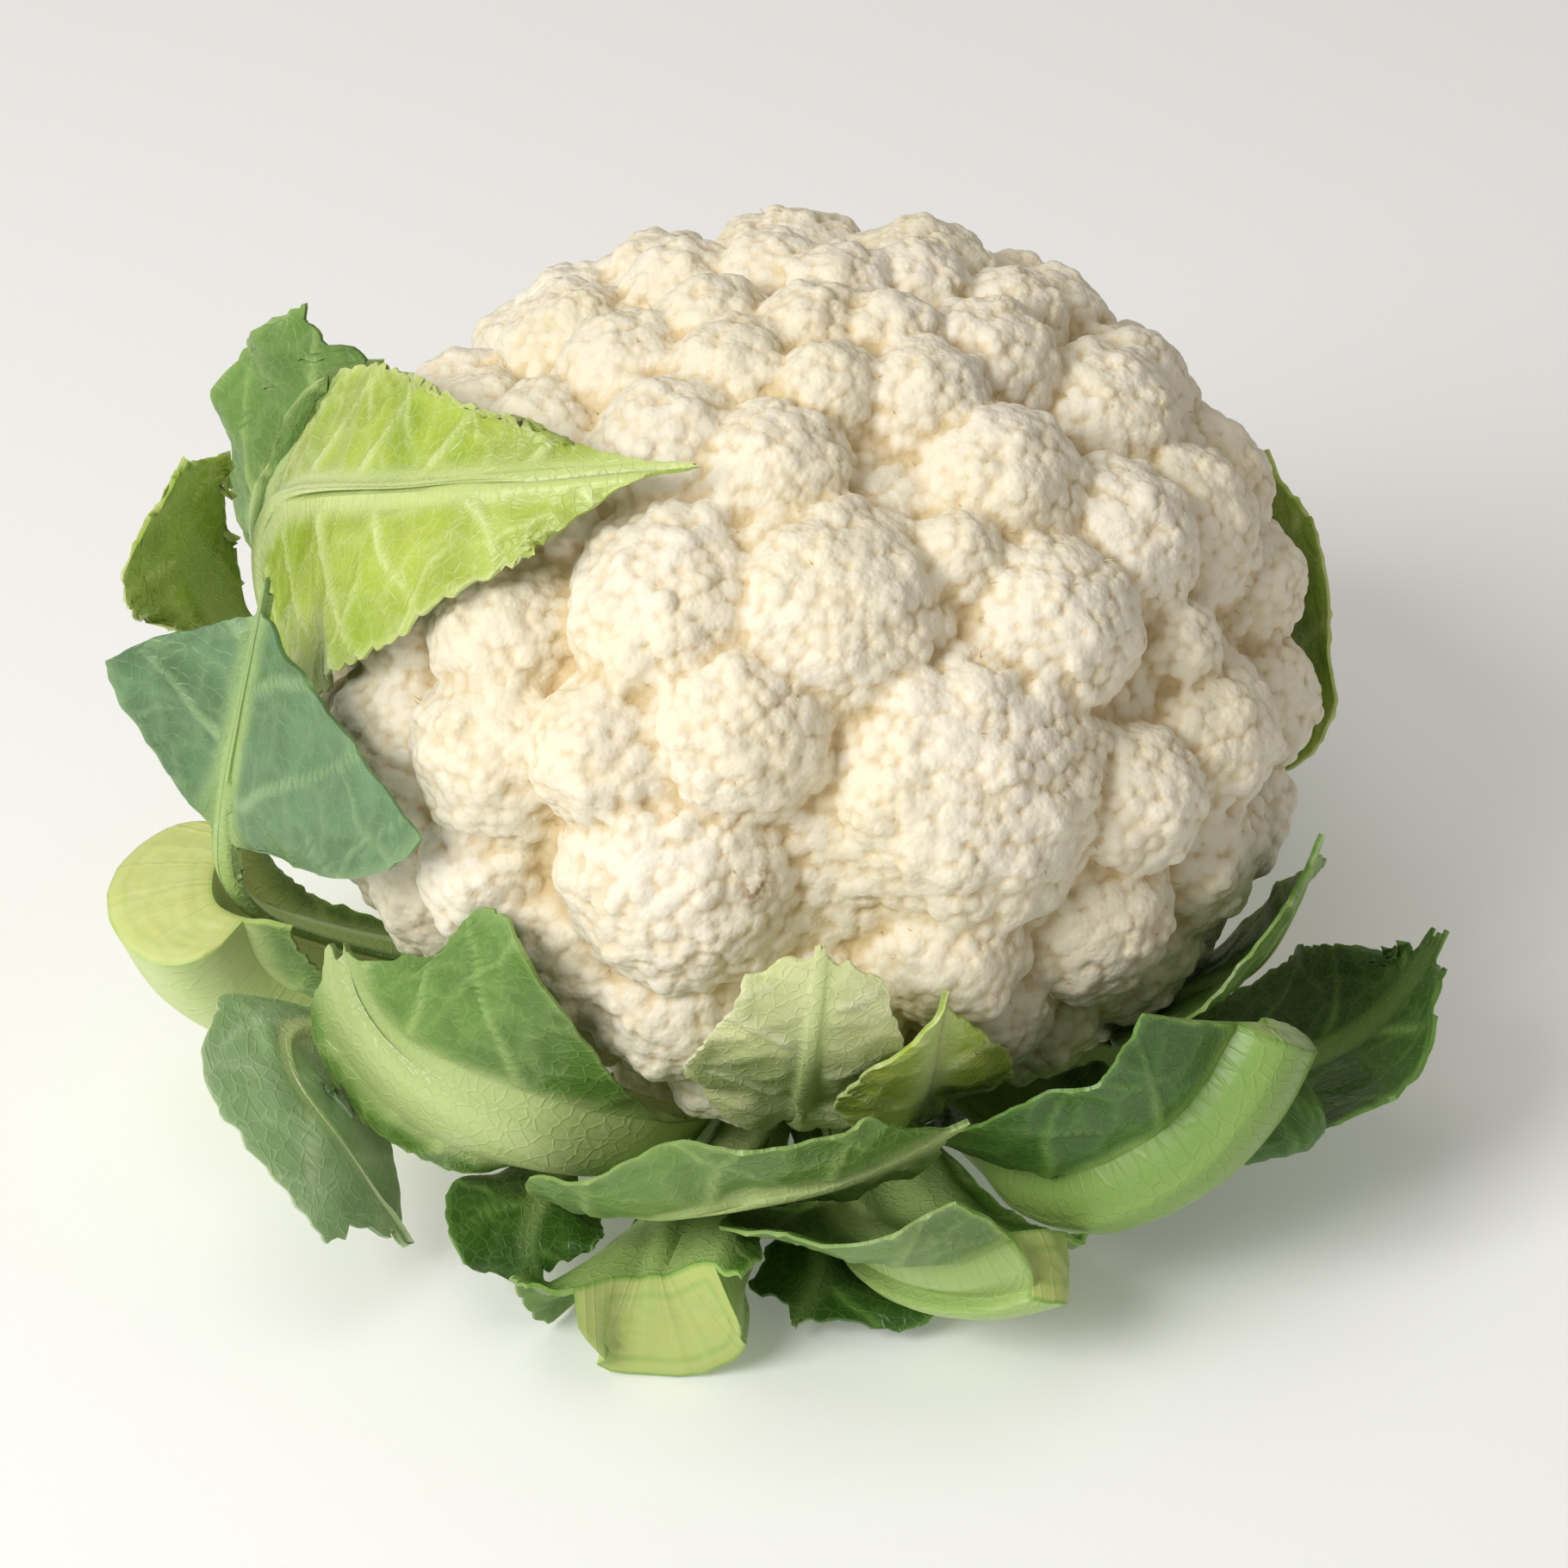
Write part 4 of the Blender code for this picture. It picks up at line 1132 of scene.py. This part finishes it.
def push_clear(inner, laid):
    """Moves the fine inner face out wherever it would cut the curd or an earlier leaf."""
    offset = inner - (0, 0, HEAD_CENTRE_Z)
    radius = np.linalg.norm(offset, axis=2)
    ways = offset / radius[..., None]
    needed = outermost(ways.reshape(-1, 3), laid, FINE_CLEARANCE, np.zeros(radius.size))
    push = np.maximum(needed.reshape(radius.shape) - radius, 0)
    for _ in range(FINE_EASING):
        push = spread_push(push)
    return inner + ways * push[..., None]


def add_leaf(number, leaf, coarse, length, laid):
    skin = SKINS[leaf.name]
    inner, outer, thick, rib, across, facts, place = fine_leaf(number, leaf, coarse, length, laid)
    layers = max(2, math.ceil(thick[-1].max() / LEAF_SPACING)) if skin.cut else 2
    points, faces = closed_leaf(inner, outer, layers)
    shares = np.linspace(0, 1, layers + 1)[1:-1]
    middle = slice(1, -1)

    def over_all(values, outer_values=None, end_values=None):
        end = values[-1, middle]
        caps = [end if end_values is None else end_values(share)[middle] for share in shares]
        second = values if outer_values is None else outer_values
        kept = values.shape[2:]
        return np.concatenate([values.reshape(-1, *kept), second.reshape(-1, *kept), *caps])

    zero, one = np.zeros_like(rib), np.ones_like(rib)
    cut = zero.copy()
    cut[-1] = 1.0 if skin.cut else 0.0
    from_side = np.maximum(rib[-1] - np.abs(across[-1]), 0) * 0.8

    def within(share):
        from_face = np.minimum(share, 1 - share) * thick[-1]
        return np.clip(np.minimum(from_face, from_side) / FLESH_DEPTH, 0, 1)

    attributes = {key: over_all(values) for key, values in facts.items()}
    if not skin.cut:
        attributes["rib"] = over_all(facts["rib"] ** 4, facts["rib"])
    attributes["outside"] = over_all(zero, one, lambda share: np.full(zero.shape[1], share))
    attributes["cut"] = over_all(cut, None, lambda share: cut[-1])
    attributes["flesh"] = over_all(zero, None, within)
    attributes["leaf_place"] = over_all(place)
    if skin.cut:
        onward = inner[-1] - inner[-2]
        onward = (onward / np.linalg.norm(onward, axis=1)[:, None])[middle]
        onward = np.tile(onward, (len(shares), 1))
        flesh = attributes["flesh"][-len(onward):]
        grit = np.random.default_rng(number).uniform(-1, 1, len(onward))
        bulge = CUT_BULGE * flesh ** 0.5 + CUT_ROUGHNESS * grit * flesh
        points[-len(onward):] += onward * bulge[:, None]
    obj = new_piece(leaf.name + "_grown", points, faces, leaf.name, attributes)
    obj.data.materials.append(leaf_paint(leaf.name, skin))
    return ray_tree(points, faces)


def leaf_paint(name, skin):
    paint = Paint(name + "_skin", 0.45, skin.glow, (0.0016, 0.0022, 0.0006))
    place = paint.place("leaf_place")
    outside, rib, cut = (paint.attribute(key) for key in ("outside", "rib", "cut"))
    blade = paint.mix(paint.ramp(outside, 0.35, 0.65), skin.inner, skin.outer)
    broad = paint.noise(0.022, place, 4.0, 0.6)
    blade = paint.mix(paint.ramp(broad, 0.42, 0.68, 0.0, skin.blotch), blade, skin.patch)
    shade = paint.ramp(paint.noise(0.009, place), 0.3, 0.7, 0.85, 1.08)
    blade = paint.mix(1.0, blade, paint.grey(shade), "MULTIPLY")
    threads = paint.ramp(paint.cells(0.0021, place, "DISTANCE_TO_EDGE"), 0.0, 0.12, 1.0, 0.0)
    blade = paint.mix(paint.math("MULTIPLY", threads, 0.16), blade, skin.vein)
    blade = paint.mix(paint.math("MULTIPLY", paint.attribute("web"), skin.web), blade, skin.vein)
    blade = paint.mix(paint.math("MULTIPLY", paint.attribute("vein"), 0.9), blade, skin.vein)
    blade = paint.mix(paint.math("MULTIPLY", paint.attribute("margin"), 0.45), blade, skin.vein)
    streak = paint.node("ShaderNodeMapping")
    paint.plug(place, streak.inputs["Vector"])
    streak.inputs["Scale"].default_value = (0.12, 1.0, 1.0)
    streaks = paint.ramp(paint.noise(0.0026, streak.outputs[0]), 0.3, 0.7, 0.0, 0.3)
    stalk = paint.mix(streaks, skin.rib, skin.rib_dark)
    pale_zone = paint.ramp(paint.noise(0.014, streak.outputs[0]), 0.42, 0.62, 0.0, 0.45)
    stalk = paint.mix(pale_zone, stalk, skin.vein)
    colour = paint.mix(rib, blade, stalk)
    flesh = paint.attribute("flesh")
    ring = paint.math("MULTIPLY", paint.ramp(flesh, 0.45, 0.6), paint.ramp(flesh, 0.65, 0.85, 1.0, 0.0))
    face = paint.mix(paint.ramp(flesh, 0.0, 0.18), skin.rib_dark, skin.flesh)
    face = paint.mix(paint.math("MULTIPLY", ring, 0.35), face, skin.rib_dark)
    spots = paint.ramp(paint.noise(0.004, paint.place()), 0.45, 0.75, 0.0, 0.5)
    face = paint.mix(spots, face, skin.rib)
    colour = paint.mix(cut, colour, face)
    normal = paint.bump(threads, 0.00007)
    normal = paint.bump(paint.noise(0.0009, place), 0.00012, normal)
    gloss = paint.ramp(broad, 0.35, 0.7, skin.rough - 0.04, skin.rough - 0.2)
    return paint.finish(colour, normal, gloss)


def add_leaves(balls, curd_tree):
    coarse_laid, fine_laid = [], [curd_tree]
    for number, leaf in enumerate(LEAVES):
        grid, depth, length = leaf_grid(leaf)
        grid = lay_outside(grid, balls, coarse_laid)
        outer = grid - grid_normals(grid) * depth[..., None]
        lift_off_floor(grid, outer)
        points, faces = closed_leaf(grid, outer, 1)
        coarse_laid.append(ray_tree(points, faces))
        fine_laid.append(add_leaf(number, leaf, grid, length, fine_laid))


# ---- the studio ----

def add_floor():
    mesh = bpy.data.meshes.new("studio_floor")
    turns = [2 * math.pi * step / FLOOR_SIDES for step in range(FLOOR_SIDES)]
    rim = [(FLOOR_RADIUS * math.cos(turn), FLOOR_RADIUS * math.sin(turn), 0) for turn in turns]
    mesh.from_pydata(rim, [], [range(FLOOR_SIDES)])
    floor = add_object("studio_floor", mesh)
    paint = Paint("studio_floor_paper", 0.85, 0.0, (0.001, 0.001, 0.001))
    place = paint.place()
    colour = paint.mix(paint.noise(0.4, place), (0.93, 0.93, 0.925), (0.90, 0.90, 0.895))
    paint.shader.inputs["Emission Color"].default_value = (1.0, 1.0, 1.0, 1.0)
    paint.shader.inputs["Emission Strength"].default_value = FLOOR_GLOW
    mesh.materials.append(paint.finish(colour, paint.bump(paint.noise(0.002, place), 0.00002)))


def add_light(name, around, up, distance, size, power, colour):
    """A square soft box that faces the head."""
    data = bpy.data.lights.new(name, "AREA")
    data.size = size
    data.energy = power
    data.color = colour
    light = add_object(name, data)
    way = Vector(direction(around, 90 - up))
    light.location = Vector((0, 0, HEAD_CENTRE_Z * MM)) + way * distance
    light.rotation_euler = way.to_track_quat("Z", "Y").to_euler()


def add_studio():
    add_floor()
    world = bpy.data.worlds.new("studio")
    world.use_nodes = True
    world.node_tree.nodes["Background"].inputs["Color"].default_value = (1.0, 0.95, 0.87, 1.0)
    world.node_tree.nodes["Background"].inputs["Strength"].default_value = AMBIENT
    bpy.context.scene.world = world
    for light in LIGHTS:
        add_light(*light)
    bpy.context.scene.view_settings.view_transform = "Standard"


def add_camera():
    """Looks down on the front of the head, as the photograph does."""
    up = math.radians(CAMERA_UP)
    back = Vector((0, -math.cos(up), math.sin(up)))
    above = Vector((0, math.sin(up), math.cos(up)))
    aim = Vector((CAMERA_SHIFT[0], 0, HEAD_CENTRE_Z)) + above * CAMERA_SHIFT[1]
    data = bpy.data.cameras.new("photo_view")
    data.lens = CAMERA_LENS
    data.sensor_width = 36.0
    camera = add_object("photo_view", data)
    camera.location = (aim + back * CAMERA_DISTANCE) * MM
    camera.rotation_euler = back.to_track_quat("Z", "Y").to_euler()
    bpy.context.scene.camera = camera


def main():
    balls = florets()
    curd, points, normals, crease = add_curd(balls)
    add_bracts(points, normals, crease)
    add_stump()
    faces = [tuple(face.vertices) for face in curd.data.polygons]
    add_leaves(balls, ray_tree(points, faces))
    add_studio()
    add_camera()


main()
